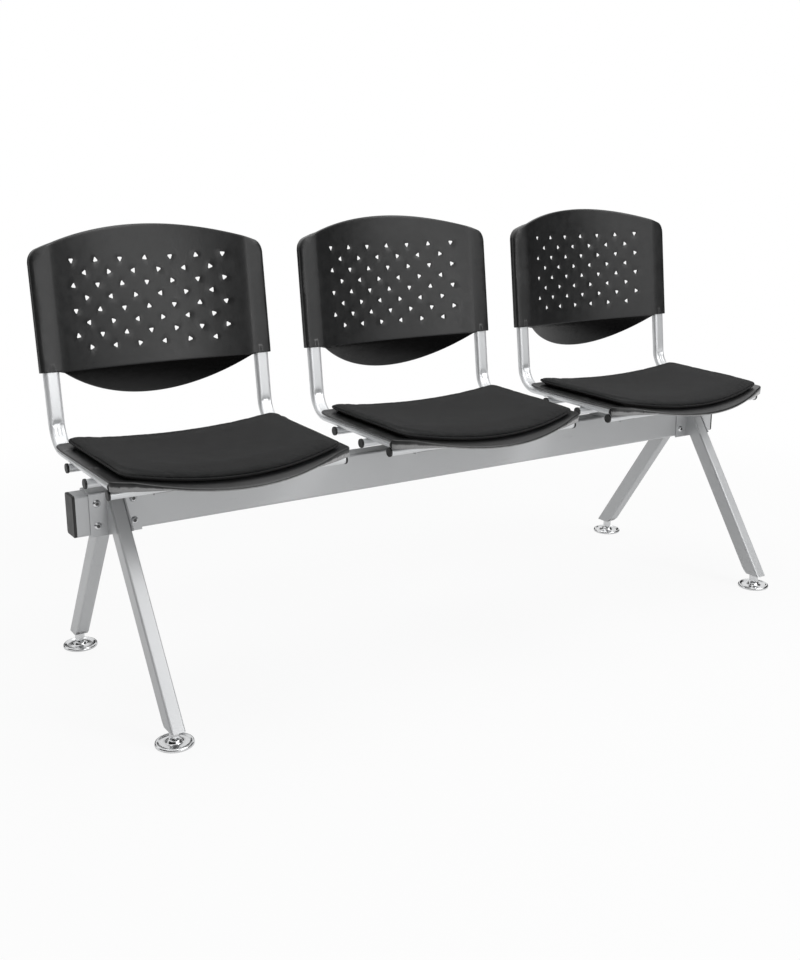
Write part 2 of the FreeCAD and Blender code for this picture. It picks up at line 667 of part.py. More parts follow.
def seat_flange_height(y):
    """Top of the seat's side flange at y: level on the rail, flared behind and falling in front."""
    level = rail_height(y) + OVAL_DEPTH / 2 + SEAT_SKIN + CLEARANCE
    if y > SEAT_FLARE_START:
        share = (y - SEAT_FLARE_START) / (SEAT_REAR_Y - SEAT_FLARE_START)
        level += SEAT_FLARE_RISE * share ** 2
    if y < SEAT_FALL_START:
        share = (y - SEAT_FALL_START) / (SEAT_FRONT_Y - SEAT_FALL_START)
        level -= SEAT_FALL * share ** 2
    return level


def between(start, end, count):
    """Evenly spaced values from start up to, but without, end."""
    return [start + (end - start) * index / count for index in range(count)]


def saddle_stations():
    """Places along Y of the saddle's sections, from beyond the rear to beyond the front."""
    stations = [SEAT_REAR_Y + SADDLE_SPARE]
    stations += between(SEAT_REAR_Y, SEAT_FLARE_START, 3)
    stations += between(SEAT_FLARE_START, SEAT_FALL_START, 4)
    stations += between(SEAT_FALL_START, SEAT_FRONT_Y, 4)
    return stations + [SEAT_FRONT_Y, SEAT_FRONT_Y - SADDLE_SPARE]


def saddle_block(seat_x, lift):
    """Everything below the seat's saddle surface when that surface is moved up by lift."""
    half = SEAT_HALF_WIDTH + SADDLE_SPARE
    sections = []
    for y in saddle_stations():
        top = seat_flange_height(y) + lift
        at = lambda x, z: V(seat_x + x, y, z)
        edges = [
            Part.LineSegment(at(-half, BEAM_BOTTOM), at(-half, top)).toShape(),
            Part.LineSegment(at(-half, top), at(-SEAT_FLANGE_X, top)).toShape(),
            Part.Arc(at(-SEAT_FLANGE_X, top), at(0, top - SEAT_SAG), at(SEAT_FLANGE_X, top)).toShape(),
            Part.LineSegment(at(SEAT_FLANGE_X, top), at(half, top)).toShape(),
            Part.LineSegment(at(half, top), at(half, BEAM_BOTTOM)).toShape(),
            Part.LineSegment(at(half, BEAM_BOTTOM), at(-half, BEAM_BOTTOM)).toShape(),
        ]
        sections.append(Part.Wire(edges))
    return Part.makeLoft(sections, True, False)


def bow_block(seat_x, plan, inset):
    """Upright block behind a plan's bowed front and in front of its rear edge."""
    centre = V(seat_x, plan.front + plan.bow_radius, BEAM_BOTTOM)
    bow = cylinder(plan.bow_radius - inset, RAIL_Z, centre, V(0, 0, 1))
    rear = plan.rear - inset
    corner = V(seat_x - 2 * SEAT_HALF_WIDTH, rear - SEAT_FRONT_RADIUS, BEAM_BOTTOM)
    return bow.common(Part.makeBox(4 * SEAT_HALF_WIDTH, SEAT_FRONT_RADIUS, RAIL_Z, corner))


def plan_prism(seat_x, plan, inset):
    """Upright block inside a plan: bowed front, tapered sides, rounded corners."""
    at = lambda side, half, y: V(seat_x + side * (half - inset), y, BEAM_BOTTOM)
    corners = [
        at(-1, plan.front_half, plan.front),
        at(1, plan.front_half, plan.front),
        at(1, plan.rear_half, plan.rear),
        at(-1, plan.rear_half, plan.rear),
    ]
    block = prism(corners, V(0, 0, RAIL_Z)).common(bow_block(seat_x, plan, inset))
    upright = [edge for edge in block.Edges if edge.BoundBox.XLength + edge.BoundBox.YLength < TOUCH]
    outer = [edge for edge in upright if abs(edge.BoundBox.XMin - seat_x) > SEAT_FLANGE_X]
    front_edges = [edge for edge in outer if edge.BoundBox.YMax < 0]
    rear_edges = [edge for edge in outer if edge.BoundBox.YMin > 0]
    block = block.makeFillet(plan.front_corner - inset, front_edges)
    return block.makeFillet(plan.rear_corner - inset, rear_edges)


def seat_apron(seat_x):
    """Deep front wall that hides the rails' ends; its lower edge is level."""
    bottom = seat_flange_height(SEAT_APRON_REAR_Y) - SEAT_APRON_DEPTH
    corner = V(seat_x - 2 * SEAT_HALF_WIDTH, SEAT_FRONT_Y, bottom)
    zone = Part.makeBox(4 * SEAT_HALF_WIDTH, SEAT_APRON_REAR_Y - SEAT_FRONT_Y, 2 * SEAT_APRON_DEPTH, corner)
    wall = plan_prism(seat_x, SEAT_PLAN, 0).cut(plan_prism(seat_x, SEAT_PLAN, SEAT_RIM_WALL))
    return wall.common(zone).common(saddle_block(seat_x, 0))


def seat_shell(seat_x):
    """Moulded saddle with a turned-down rim at its front and rear and a deep apron at its front corners."""
    skin = saddle_block(seat_x, 0).cut(saddle_block(seat_x, -SEAT_RIM))
    skin = skin.common(plan_prism(seat_x, SEAT_PLAN, 0))
    hollow = saddle_block(seat_x, -SEAT_SKIN).common(bow_block(seat_x, SEAT_PLAN, SEAT_RIM_WALL))
    holes = pad_screw_holes(seat_x)
    for side in (-1, 1):
        holes += seat_screw_holes(seat_x, side)
    return skin.cut(hollow).fuse(seat_apron(seat_x)).cut(holes)


def saddle_rise(x):
    """Rise of the saddle's arc above its lowest point at x from the seat's middle."""
    radius = (SEAT_FLANGE_X ** 2 + SEAT_SAG ** 2) / (2 * SEAT_SAG)
    return radius - math.sqrt(radius ** 2 - x ** 2)


def seat_height_at(x, y):
    """Top of the seat shell at x from the seat's middle."""
    dip = SEAT_SAG - saddle_rise(x) if abs(x) < SEAT_FLANGE_X else 0.0
    return seat_flange_height(y) - dip


# Pad and its board

def pad_section(seat_x, y, half, low, high, sag_low, sag_high, bulge):
    """Closed section across the pad: sagging underside, bulging sides, crowned top."""
    at = lambda x, z: V(seat_x + x, y, z)
    middle = (low + high) / 2
    edges = [
        Part.Arc(at(-half, low), at(0, low - sag_low), at(half, low)).toShape(),
        Part.Arc(at(half, low), at(half + bulge, middle), at(half, high)).toShape(),
        Part.Arc(at(half, high), at(0, high - sag_high), at(-half, high)).toShape(),
        Part.Arc(at(-half, high), at(-half - bulge, middle), at(-half, low)).toShape(),
    ]
    return Part.Wire(edges)


def pad_side(y):
    """Half width of the pad between its tapered sides at y, before its corners are rounded."""
    return PAD_HALF_WIDTH - PAD_TAPER * (PAD_REAR_Y - y) / (PAD_REAR_Y - PAD_FRONT_Y)


def pad_front_corner():
    """Distance behind the pad's front at which a front corner's round begins, and at which it ends."""
    reach = PAD_FRONT_RADIUS - PAD_FRONT_CORNER
    ahead = math.sqrt(reach ** 2 - (pad_side(PAD_FRONT_Y) - PAD_FRONT_CORNER) ** 2)
    return PAD_FRONT_RADIUS - ahead * PAD_FRONT_RADIUS / reach, PAD_FRONT_RADIUS - ahead


def pad_half_width(y):
    """Half width of the pad's outline at y: bowed front, tapered sides, four rounded corners."""
    side = pad_side(y)
    from_front = y - PAD_FRONT_Y
    corner_start, corner_end = pad_front_corner()
    if from_front < corner_start:
        return math.sqrt(PAD_FRONT_RADIUS ** 2 - (PAD_FRONT_RADIUS - from_front) ** 2)
    if from_front < corner_end:
        depth = corner_end - from_front
        return side - PAD_FRONT_CORNER + math.sqrt(PAD_FRONT_CORNER ** 2 - depth ** 2)
    depth = PAD_REAR_CORNER - (PAD_REAR_Y - y)
    if depth > 0:
        return side - PAD_REAR_CORNER + math.sqrt(PAD_REAR_CORNER ** 2 - depth ** 2)
    return side


def pad_stations():
    """Stations along Y for the pad's sections, closer together at its two ends."""
    corner_start, corner_end = pad_front_corner()
    bow = [corner_start * share for share in (0.02, 0.1, 0.25, 0.5, 0.8, 1)]
    turn = [corner_start + (corner_end - corner_start) * share for share in (0.3, 0.65, 1)]
    length = PAD_REAR_Y - PAD_FRONT_Y
    middle = [corner_end + (length - corner_end) * share for share in (0.3, 0.55, 0.8)]
    end = [length - PAD_REAR_CORNER * share for share in (1, 0.75, 0.4, 0.15, 0.04)]
    return [PAD_FRONT_Y + step for step in bow + turn + middle + end]


def pad_slice(seat_x, y, height, crown, bulge):
    """One section of the pad above its board at y."""
    half = pad_half_width(y)
    rise = saddle_rise(half)
    base = seat_height_at(0, y) + BOARD_THICKNESS + 2 * SOFT_CLEARANCE + rise
    return pad_section(seat_x, y, half, base, base + height, rise, rise - crown, bulge)


def bowl_block(seat_x, lift):
    """Everything below the saddle's arc, carried on past the flanges, when it is moved up by lift."""
    half = PAD_HALF_WIDTH
    sections = []
    for y in saddle_stations():
        low = seat_height_at(0, y) + lift
        high = low + saddle_rise(half)
        at = lambda x, z: V(seat_x + x, y, z)
        edges = [
            Part.LineSegment(at(-half, BEAM_BOTTOM), at(-half, high)).toShape(),
            Part.Arc(at(-half, high), at(0, low), at(half, high)).toShape(),
            Part.LineSegment(at(half, high), at(half, BEAM_BOTTOM)).toShape(),
            Part.LineSegment(at(half, BEAM_BOTTOM), at(-half, BEAM_BOTTOM)).toShape(),
        ]
        sections.append(Part.Wire(edges))
    return Part.makeLoft(sections, True, False)


def pad_board(seat_x):
    """Thin bent board that stiffens the pad."""
    slab = bowl_block(seat_x, SOFT_CLEARANCE + BOARD_THICKNESS).cut(bowl_block(seat_x, SOFT_CLEARANCE))
    return slab.common(plan_prism(seat_x, PAD_PLAN, BOARD_INSET)).cut(pad_screw_holes(seat_x))


def seat_pad(seat_x):
    """Foam cushion in a fabric cover, with a crown and drawn-in sides."""
    sections = []
    for y in pad_stations():
        depth = min(PAD_REAR_Y - y, y - PAD_FRONT_Y, PAD_SWELL_LENGTH) / PAD_SWELL_LENGTH
        swell = math.sqrt(1 - (1 - depth) ** 2)
        height = PAD_END_HEIGHT + (PAD_EDGE_HEIGHT - PAD_END_HEIGHT) * swell
        bulge = PAD_END_BULGE + (PAD_BULGE - PAD_END_BULGE) * swell
        sections.append(pad_slice(seat_x, y, height, PAD_CROWN * swell, bulge))
    return Part.makeLoft(sections, True, False)


# Back shell: built upright, then leaned back about the foot of its sleeves

def lean_back(shape, seat_x):
    """Lean a shape of the back to the uprights' slope."""
    shape.rotate(V(seat_x, UPRIGHT_Y, SLEEVE_BOTTOM), V(1, 0, 0), -LEAN_ANGLE)
    return shape


def panel_radius():
    """Radius of the panel's front face in plan."""
    return (BACK_PANEL_HALF ** 2 + BACK_RECESS ** 2) / (2 * BACK_RECESS)


def curved_panel(seat_x, front, rear, low, high):
    """Upright curved wall between two depths behind the panel's front face."""
    half = BACK_PANEL_HALF + SLEEVE_OVERLAP
    centre_y = UPRIGHT_Y - SLEEVE_DEPTH / 2 + BACK_RECESS - panel_radius()
    point = lambda r, x: V(seat_x + x, centre_y + math.sqrt(r ** 2 - x ** 2), low)
    near = panel_radius() + front
    far = panel_radius() + rear
    edges = [
        Part.Arc(point(near, -half), point(near, 0), point(near, half)).toShape(),
        Part.LineSegment(point(near, half), point(far, half)).toShape(),
        Part.Arc(point(far, half), point(far, 0), point(far, -half)).toShape(),
        Part.LineSegment(point(far, -half), point(near, -half)).toShape(),
    ]
    return Part.Face(Part.Wire(edges)).extrude(V(0, 0, high - low))


def back_outline(seat_x, inset):
    """Front view of the back, pushed through along Y: tapered sides, domed top, round corners."""
    low = SLEEVE_BOTTOM - SLEEVE_DEPTH
    top = SLEEVE_BOTTOM + BACK_HEIGHT - inset
    foot_x = SLEEVE_X + SLEEVE_WIDTH / 2 - inset
    radius = BACK_TOP_RADIUS - inset
    corner_x = foot_x - BACK_TAPER
    corner_z = top - radius + math.sqrt(radius ** 2 - corner_x ** 2)
    at = lambda x, z: V(seat_x + x, UPRIGHT_Y - BACK_RECESS, z)
    edges = [
        Part.LineSegment(at(-foot_x, low), at(foot_x, low)).toShape(),
        Part.LineSegment(at(foot_x, low), at(corner_x, corner_z)).toShape(),
        Part.Arc(at(corner_x, corner_z), at(0, top), at(-corner_x, corner_z)).toShape(),
        Part.LineSegment(at(-corner_x, corner_z), at(-foot_x, low)).toShape(),
    ]
    block = Part.Face(Part.Wire(edges)).extrude(V(0, 3 * BACK_RECESS, 0))
    through = [edge for edge in block.Edges if edge.BoundBox.YLength > BACK_RECESS]
    corners = [edge for edge in through if edge.BoundBox.ZMin > UPRIGHT_TOP - BACK_RECESS]
    return block.makeFillet(BACK_CORNER - inset, corners)


def belly(seat_x):
    """The lip below the panel; its lower edge hangs in an arc."""
    lip = curved_panel(seat_x, 0, BACK_SKIN, SLEEVE_BOTTOM - 2 * BELLY_DROP, SLEEVE_BOTTOM)
    at = lambda x, z: V(seat_x + x, UPRIGHT_Y - BACK_RECESS, z)
    left = at(-BACK_PANEL_HALF, SLEEVE_BOTTOM)
    right = at(BACK_PANEL_HALF, SLEEVE_BOTTOM)
    hanging = Part.Arc(right, at(0, SLEEVE_BOTTOM - BELLY_DROP), left)
    outline = Part.Wire([Part.LineSegment(left, right).toShape(), hanging.toShape()])
    return lip.common(Part.Face(outline).extrude(V(0, 3 * BACK_RECESS, 0)))


def sleeve_body(seat_x, side):
    """Outer body of the sleeve on an upright; above the upright's end its rear face slopes forward."""
    straight = (UPRIGHT_TOP - SLEEVE_BOTTOM) / math.cos(math.radians(LEAN_ANGLE)) + SLEEVE_ROUND
    sections = []
    for height, depth in ((0, SLEEVE_DEPTH), (straight, SLEEVE_DEPTH), (BACK_HEIGHT, SLEEVE_TOP_DEPTH)):
        centre_x = seat_x + side * SLEEVE_X
        centre_y = UPRIGHT_Y - (SLEEVE_DEPTH - depth) / 2
        at = lambda a, b: V(centre_x + a, centre_y + b, SLEEVE_BOTTOM + height)
        radius = SLEEVE_ROUND * depth / SLEEVE_DEPTH
        sections.append(rounded_face(SLEEVE_WIDTH / 2, depth / 2, radius, at).OuterWire)
    return Part.makeLoft(sections, True, True)


def sleeve_pocket(seat_x, side):
    """The room for an upright inside its sleeve."""
    low = SLEEVE_BOTTOM - SLEEVE_DEPTH
    half_w = OVAL_WIDTH / 2 + SLEEVE_CLEARANCE
    half_d = OVAL_DEPTH / 2 + SLEEVE_CLEARANCE
    at = lambda a, b: V(seat_x + side * FRAME_X + a, UPRIGHT_Y + b, low)
    height = (UPRIGHT_TOP - SLEEVE_BOTTOM) / math.cos(math.radians(LEAN_ANGLE)) + 2 * SLEEVE_CLEARANCE
    return oval_face(half_w, half_d, at).extrude(V(0, 0, SLEEVE_BOTTOM - low + height))


def hole_places():
    """Centre (x, height above the sleeves' foot) and turn of each hole in the panel."""
    turns_by_row = [
        (180, 0, 180, 0, 180, 0, 180),
        (90, -90, 90, -90, 90, -90),
        (0, 180, 0, 180, -90, 180, -90),
        (-90, 90, -90, 90, -90, 90),
    ]
    places = []
    for row in range(HOLE_ROWS):
        count = HOLES_IN_LONG_ROW - row % 2
        turns = turns_by_row[row % len(turns_by_row)]
        for column in range(count):
            x = (column - (count - 1) / 2) * HOLE_PITCH
            sway = HOLE_SWAY * math.sin(HOLE_SWAY_BY_ROW * row + HOLE_SWAY_BY_COLUMN * column)
            places.append((x, HOLE_TOP_ROW - row * HOLE_ROW_PITCH, turns[column % len(turns)] + sway))
    return places


def hole_prism(seat_x, x, height, turn):
    """A small rounded triangle, pushed through the panel."""
    reach = HOLE_SIDE / math.sqrt(3) - 2 * HOLE_ROUND
    step = math.radians(60)
    start = V(seat_x + x, UPRIGHT_Y - BACK_RECESS, SLEEVE_BOTTOM + height)
    ring = []
    for index in range(3):
        angle = math.radians(90 + turn) - 2 * step * index
        centre = start + V(reach * math.cos(angle), 0, reach * math.sin(angle))
        turns = [angle + step, angle, angle - step]
        arms = [V(math.cos(turn), 0, math.sin(turn)) for turn in turns]
        ring.append([centre + arm * HOLE_ROUND for arm in arms])
    edges = []
    for index, around in enumerate(ring):
        edges.append(Part.Arc(*around).toShape())
        edges.append(Part.LineSegment(around[-1], ring[(index + 1) % 3][0]).toShape())
    return Part.Face(Part.Wire(edges)).extrude(V(0, 3 * BACK_RECESS, 0))


def back_shell(seat_x):
    """One moulding: curved panel with holes, side sleeves, rolled top rim and belly lip."""
    top = SLEEVE_BOTTOM + BACK_HEIGHT + BACK_RIM_HEIGHT
    panel = curved_panel(seat_x, 0, BACK_RIM_DEPTH, SLEEVE_BOTTOM, top)
    behind = curved_panel(seat_x, BACK_SKIN, 2 * BACK_RIM_DEPTH, SLEEVE_BOTTOM - BACK_RIM_HEIGHT, top)
    panel = panel.cut(behind.common(back_outline(seat_x, BACK_RIM_HEIGHT)))
    bodies = [sleeve_body(seat_x, side) for side in (-1, 1)]
    shell = panel.fuse(bodies).common(back_outline(seat_x, 0)).fuse(belly(seat_x))
    holes = [hole_prism(seat_x, *place) for place in hole_places()]
    pockets = [sleeve_pocket(seat_x, side) for side in (-1, 1)]
    shell = lean_back(shell.cut(pockets + holes), seat_x)
    return shell.cut(back_screw_holes(seat_x, -1) + back_screw_holes(seat_x, 1))


# Screws

def seat_screw_places(seat_x, side):
    """Foot of each screw that holds a seat shell to a rail, from below."""
    x = seat_x + side * FRAME_X
    return [(x, y, rail_height(y) - OVAL_DEPTH / 2) for y in (SEAT_SCREW_FRONT_Y, SEAT_SCREW_REAR_Y)]


def screw_hole(x, y, z, length):
    """Upright clear hole that also opens a little below the screw's foot."""
    low = V(x, y, z - SCREW_HOLE_SPARE)
    return cylinder(SCREW_RADIUS + WELD_GAP, SCREW_HOLE_SPARE + length, low, V(0, 0, 1))


def pan_head_screw(foot, axis, length):
    """Pan head screw: its head lies before the foot, its shank runs from the foot along the axis."""
    head = cylinder(SCREW_HEAD_RADIUS, SCREW_HEAD_HEIGHT, foot, axis * -1)
    return head.fuse(cylinder(SCREW_RADIUS, length, foot, axis))


def seat_screw_holes(seat_x, side):
    """Clear holes through the rail and into the shell for the seat screws."""
    length = OVAL_DEPTH + CLEARANCE + SEAT_SCREW_HOLE_DEPTH
    return [screw_hole(x, y, z, length) for x, y, z in seat_screw_places(seat_x, side)]


def seat_screw(x, y, z):
    """Pan head screw, from under the rail up into the shell."""
    length = OVAL_DEPTH + CLEARANCE + SEAT_SCREW_BITE
    return pan_head_screw(V(x, y, z - 2 * WELD_GAP), V(0, 0, 1), length)


def pad_screw_places(seat_x):
    """Foot of each screw that holds the pad's board to the shell, from below."""
    places = []
    for sx in (-1, 1):
        for y in (PAD_SCREW_FRONT_Y, PAD_SCREW_REAR_Y):
            z = seat_height_at(PAD_SCREW_X, y) - SEAT_SKIN
            places.append((seat_x + sx * PAD_SCREW_X, y, z))
    return places


def pad_screw_holes(seat_x):
    """Holes through the shell and into the board for the pad screws."""
    return [screw_hole(x, y, z, SEAT_SKIN + BOARD_THICKNESS) for x, y, z in pad_screw_places(seat_x)]


def pad_screw(x, y, z):
    """Pan head screw, from under the shell up into the pad's board."""
    return pan_head_screw(V(x, y, z - SCREW_HOLE_SPARE), V(0, 0, 1), SEAT_SKIN + PAD_SCREW_BITE)


def back_screw_foot(seat_x, side, gap):
    """Place behind a sleeve's rear face where its screw enters, before the back leans."""
    return V(seat_x + side * FRAME_X, UPRIGHT_Y + SLEEVE_DEPTH / 2 + gap, SLEEVE_BOTTOM + BACK_SCREW_HEIGHT)


def back_screw_holes(seat_x, side):
    """Hole through the sleeve's rear wall and the upright's rear wall."""
    start = back_screw_foot(seat_x, side, SCREW_HOLE_SPARE)
    length = SLEEVE_DEPTH / 2 + SCREW_HOLE_SPARE
    return [lean_back(cylinder(SCREW_RADIUS + WELD_GAP, length, start, V(0, -1, 0)), seat_x)]


def back_screw(seat_x, side):
    """Pan head screw that locks a sleeve on its upright."""
    foot = back_screw_foot(seat_x, side, WELD_GAP)
    return lean_back(pan_head_screw(foot, V(0, -1, 0), BACK_SCREW_LENGTH), seat_x)


def build():
    """Every node of the bench by name."""
    nodes = {"beam_tube": beam_tube()}
    sides = (("left", -1), ("right", 1))
    ends = (("front", -1), ("rear", 1))
    inserts = []
    for side_name, side in sides:
        nodes["beam_end_cap_" + side_name] = beam_end_cap(side)
        nodes["leg_bracket_" + side_name] = leg_bracket(side)
        for end_name, sy in ends:
            nodes["%s_leg_%s" % (end_name, side_name)] = leg(side, sy)
            nodes["glide_stem_%s_%s" % (end_name, side_name)] = glide_stem(side, sy)
            nodes["glide_disc_%s_%s" % (end_name, side_name)] = glide_disc(side, sy)
            inserts.append(leg_insert(side, sy))
    nodes["leg_inserts"] = inserts
    nodes["bracket_bolts"] = [saddle_bolt(x, z) for x, z in saddle_bolt_places()]
    nodes["bracket_nuts"] = [saddle_nut(x, z) for x, z in saddle_bolt_places()]
    nodes["channel_bolts"] = [mount_bolt(x) for x in mount_bolt_places()]
    nodes["beam_rivet_nuts"] = [rivet_nut(x) for x in mount_bolt_places()]
    for name in ("rail_plugs", "seat_screws", "pad_screws", "back_screws"):
        nodes[name] = []
    for number, seat_x in enumerate(SEAT_CENTRES, 1):
        for side_name, side in sides:
            nodes["side_frame_%s_%d" % (side_name, number)] = side_frame(seat_x, side)
            nodes["rail_plugs"].append(rail_plug(seat_x, side))
            nodes["seat_screws"] += [seat_screw(*place) for place in seat_screw_places(seat_x, side)]
            nodes["back_screws"].append(back_screw(seat_x, side))
        rear_tube, middle_tube, front_tube = [cross_tube(seat_x, *place) for place in tube_places()]
        nodes["cross_tubes_%d" % number] = [rear_tube, middle_tube]
        nodes["front_tube_%d" % number] = front_tube
        nodes["tube_caps_%d" % number] = tube_caps(seat_x)
        nodes["seat_channels_%d" % number] = [seat_channel(seat_x, side) for side in (-1, 1)]
        nodes["seat_shell_%d" % number] = seat_shell(seat_x)
        nodes["pad_board_%d" % number] = pad_board(seat_x)
        nodes["seat_pad_%d" % number] = seat_pad(seat_x)
        nodes["back_shell_%d" % number] = back_shell(seat_x)
        nodes["pad_screws"] += [pad_screw(*place) for place in pad_screw_places(seat_x)]
    return nodes


def main():
    """Write each node to its own STEP file."""
    os.makedirs("parts", exist_ok=True)
    for name, shape in build().items():
        if isinstance(shape, list):
            shape = Part.makeCompound(shape)
        solids = len(shape.Solids)
        volume = shape.Volume / 1000
        print("%-24s %2d solids, volume %.1f cm3, valid %s" % (name, solids, volume, shape.isValid()))
        shape.exportStep("parts/%s.step" % name)


main()
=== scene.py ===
"""Looks of the three-seat waiting room bench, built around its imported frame.

The classes hold sizes in millimetres in the bench's frame: X along the beam, the sitters face -Y,
Z up from the floor. Meshes are written in metres.
"""

import json
import logging
import math
from dataclasses import dataclass
from enum import Enum
from typing import Any, Callable, Optional, Sequence, Union

import bmesh
import bpy
from mathutils import Matrix, Vector
from mathutils.geometry import delaunay_2d_cdt

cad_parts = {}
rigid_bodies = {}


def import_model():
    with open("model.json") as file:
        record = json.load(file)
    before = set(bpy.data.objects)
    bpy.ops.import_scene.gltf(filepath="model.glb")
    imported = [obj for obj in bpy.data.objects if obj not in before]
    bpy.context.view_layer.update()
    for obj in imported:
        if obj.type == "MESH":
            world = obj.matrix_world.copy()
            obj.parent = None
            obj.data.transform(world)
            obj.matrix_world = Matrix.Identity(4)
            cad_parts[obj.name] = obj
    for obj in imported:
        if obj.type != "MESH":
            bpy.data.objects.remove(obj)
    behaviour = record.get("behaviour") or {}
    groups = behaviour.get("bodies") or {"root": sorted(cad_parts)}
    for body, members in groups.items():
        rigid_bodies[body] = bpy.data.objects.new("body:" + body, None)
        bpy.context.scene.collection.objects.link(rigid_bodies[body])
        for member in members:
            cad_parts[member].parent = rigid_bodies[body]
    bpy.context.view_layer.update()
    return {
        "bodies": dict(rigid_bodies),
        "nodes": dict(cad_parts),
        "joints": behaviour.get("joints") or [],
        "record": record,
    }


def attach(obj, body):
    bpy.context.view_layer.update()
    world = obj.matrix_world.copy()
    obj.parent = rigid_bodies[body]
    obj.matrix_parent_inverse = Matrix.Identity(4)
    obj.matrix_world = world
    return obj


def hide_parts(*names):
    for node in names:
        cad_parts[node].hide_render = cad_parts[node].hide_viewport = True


LOG = logging.getLogger("bench")
MM = 0.001
FAR = 1000.0
BENCH = "bench"
SEAT_CENTRES = (-545.0, 0.0, 545.0)
SEATS = tuple(enumerate(SEAT_CENTRES, 1))
ENDS = (("front", -1), ("rear", 1))
SIDES = (("left", -1), ("right", 1))

Point = tuple[float, float]
Loop = list[Point]
Surface = Callable[[float, float, float, float], Vector]


class Slot(Enum):
    """Material slots of the record that the pieces take their finish from."""

    GREY_PAINT = "grey_paint"
    FRAME_PAINT = "frame_paint"
    CHROME = "chrome"
    BRIGHT_STEEL = "bright_steel"
    PLAIN_STEEL = "plain_steel"
    SHELL_PLASTIC = "shell_plastic"
    CAP_PLASTIC = "cap_plastic"
    PAD_CLOTH = "pad_cloth"
    BOARD_WOOD = "board_wood"


def eased(value: float, low: float, high: float) -> float:
    """Smooth step from 0 at low to 1 at high."""
    share = min(max((value - low) / (high - low), 0.0), 1.0)
    return share * share * (3 - 2 * share)


def blended(first: float, second: float, share: float) -> float:
    """Straight mix of two numbers."""
    return first + (second - first) * share


def soft_max(first: float, second: float, width: float) -> float:
    """The larger number, rounded over where the two are close."""
    spread = max(width - abs(first - second), 0.0) / width
    return max(first, second) + spread * spread * width / 4


def fillet(distance: float, radius: float) -> float:
    """How far a rounded edge has dropped at a distance from the edge."""
    if distance >= radius:
        return 0.0
    gap = radius - max(distance, 0.0)
    return radius - math.sqrt(max(radius * radius - gap * gap, 0.0))


def inset_loop(loop: Sequence[Point], distance: float) -> Loop:
    """Move a closed loop inward.

    Args:
        loop: Counter-clockwise points.
        distance: How far each side moves inward; negative moves it outward.

    Returns:
        As many points as the loop has.
    """
    moved: Loop = []
    count = len(loop)
    for index, here in enumerate(loop):
        before = Vector(here) - Vector(loop[index - 1])
        after = Vector(loop[(index + 1) % count]) - Vector(here)
        first = Vector((-before.y, before.x)).normalized()
        second = Vector((-after.y, after.x)).normalized()
        step = (first + second) * (distance / (1 + first.dot(second)))
        moved.append((here[0] + step.x, here[1] + step.y))
    return moved


def arc_points(centre: Point, radius: float, start: float, end: float, count: int) -> Loop:
    """Points along an arc.

    Args:
        centre: Centre of the arc.
        radius: Its radius.
        start: First angle in degrees.
        end: Last angle in degrees.
        count: Number of steps.

    Returns:
        The points, both ends included.
    """
    points: Loop = []
    for step in range(count + 1):
        angle = math.radians(blended(start, end, step / count))
        points.append((centre[0] + radius * math.cos(angle), centre[1] + radius * math.sin(angle)))
    return points


def line_points(first: Point, last: Point, count: int) -> Loop:
    """Points along a straight line, both ends included."""
    return [
        (blended(first[0], last[0], step / count), blended(first[1], last[1], step / count))
        for step in range(count + 1)
    ]


def full_turn(count: int) -> list[float]:
    """Evenly spaced angles round a whole turn, in radians."""
    return [2 * math.pi * step / count for step in range(count)]


def joined(*runs: Loop) -> Loop:
    """Runs of points end to end, without the points that repeat."""
    points: Loop = []
    for run in runs:
        for point in run:
            if not points or math.dist(points[-1], point) > 0.05:
                points.append(point)
    if math.dist(points[0], points[-1]) < 0.05:
        points.pop()
    return points


def crossed(loop: Loop, level: float) -> Loop:
    """The loop with a point added wherever it crosses a level of its second coordinate."""
    points: Loop = []
    for index, here in enumerate(loop):
        points.append(here)
        after = loop[(index + 1) % len(loop)]
        if (here[1] - level) * (after[1] - level) < 0:
            share = (level - here[1]) / (after[1] - here[1])
            points.append((blended(here[0], after[0], share), level))
    return points


def inside(loop: Sequence[Point], a: float, b: float) -> bool:
    """Whether a point lies inside a closed loop."""
    within = False
    previous = loop[-1]
    for current in loop:
        if (current[1] > b) != (previous[1] > b):
            cross = (previous[0] - current[0]) * (b - current[1]) / (previous[1] - current[1]) + current[0]
            if a < cross:
                within = not within
        previous = current
    return within


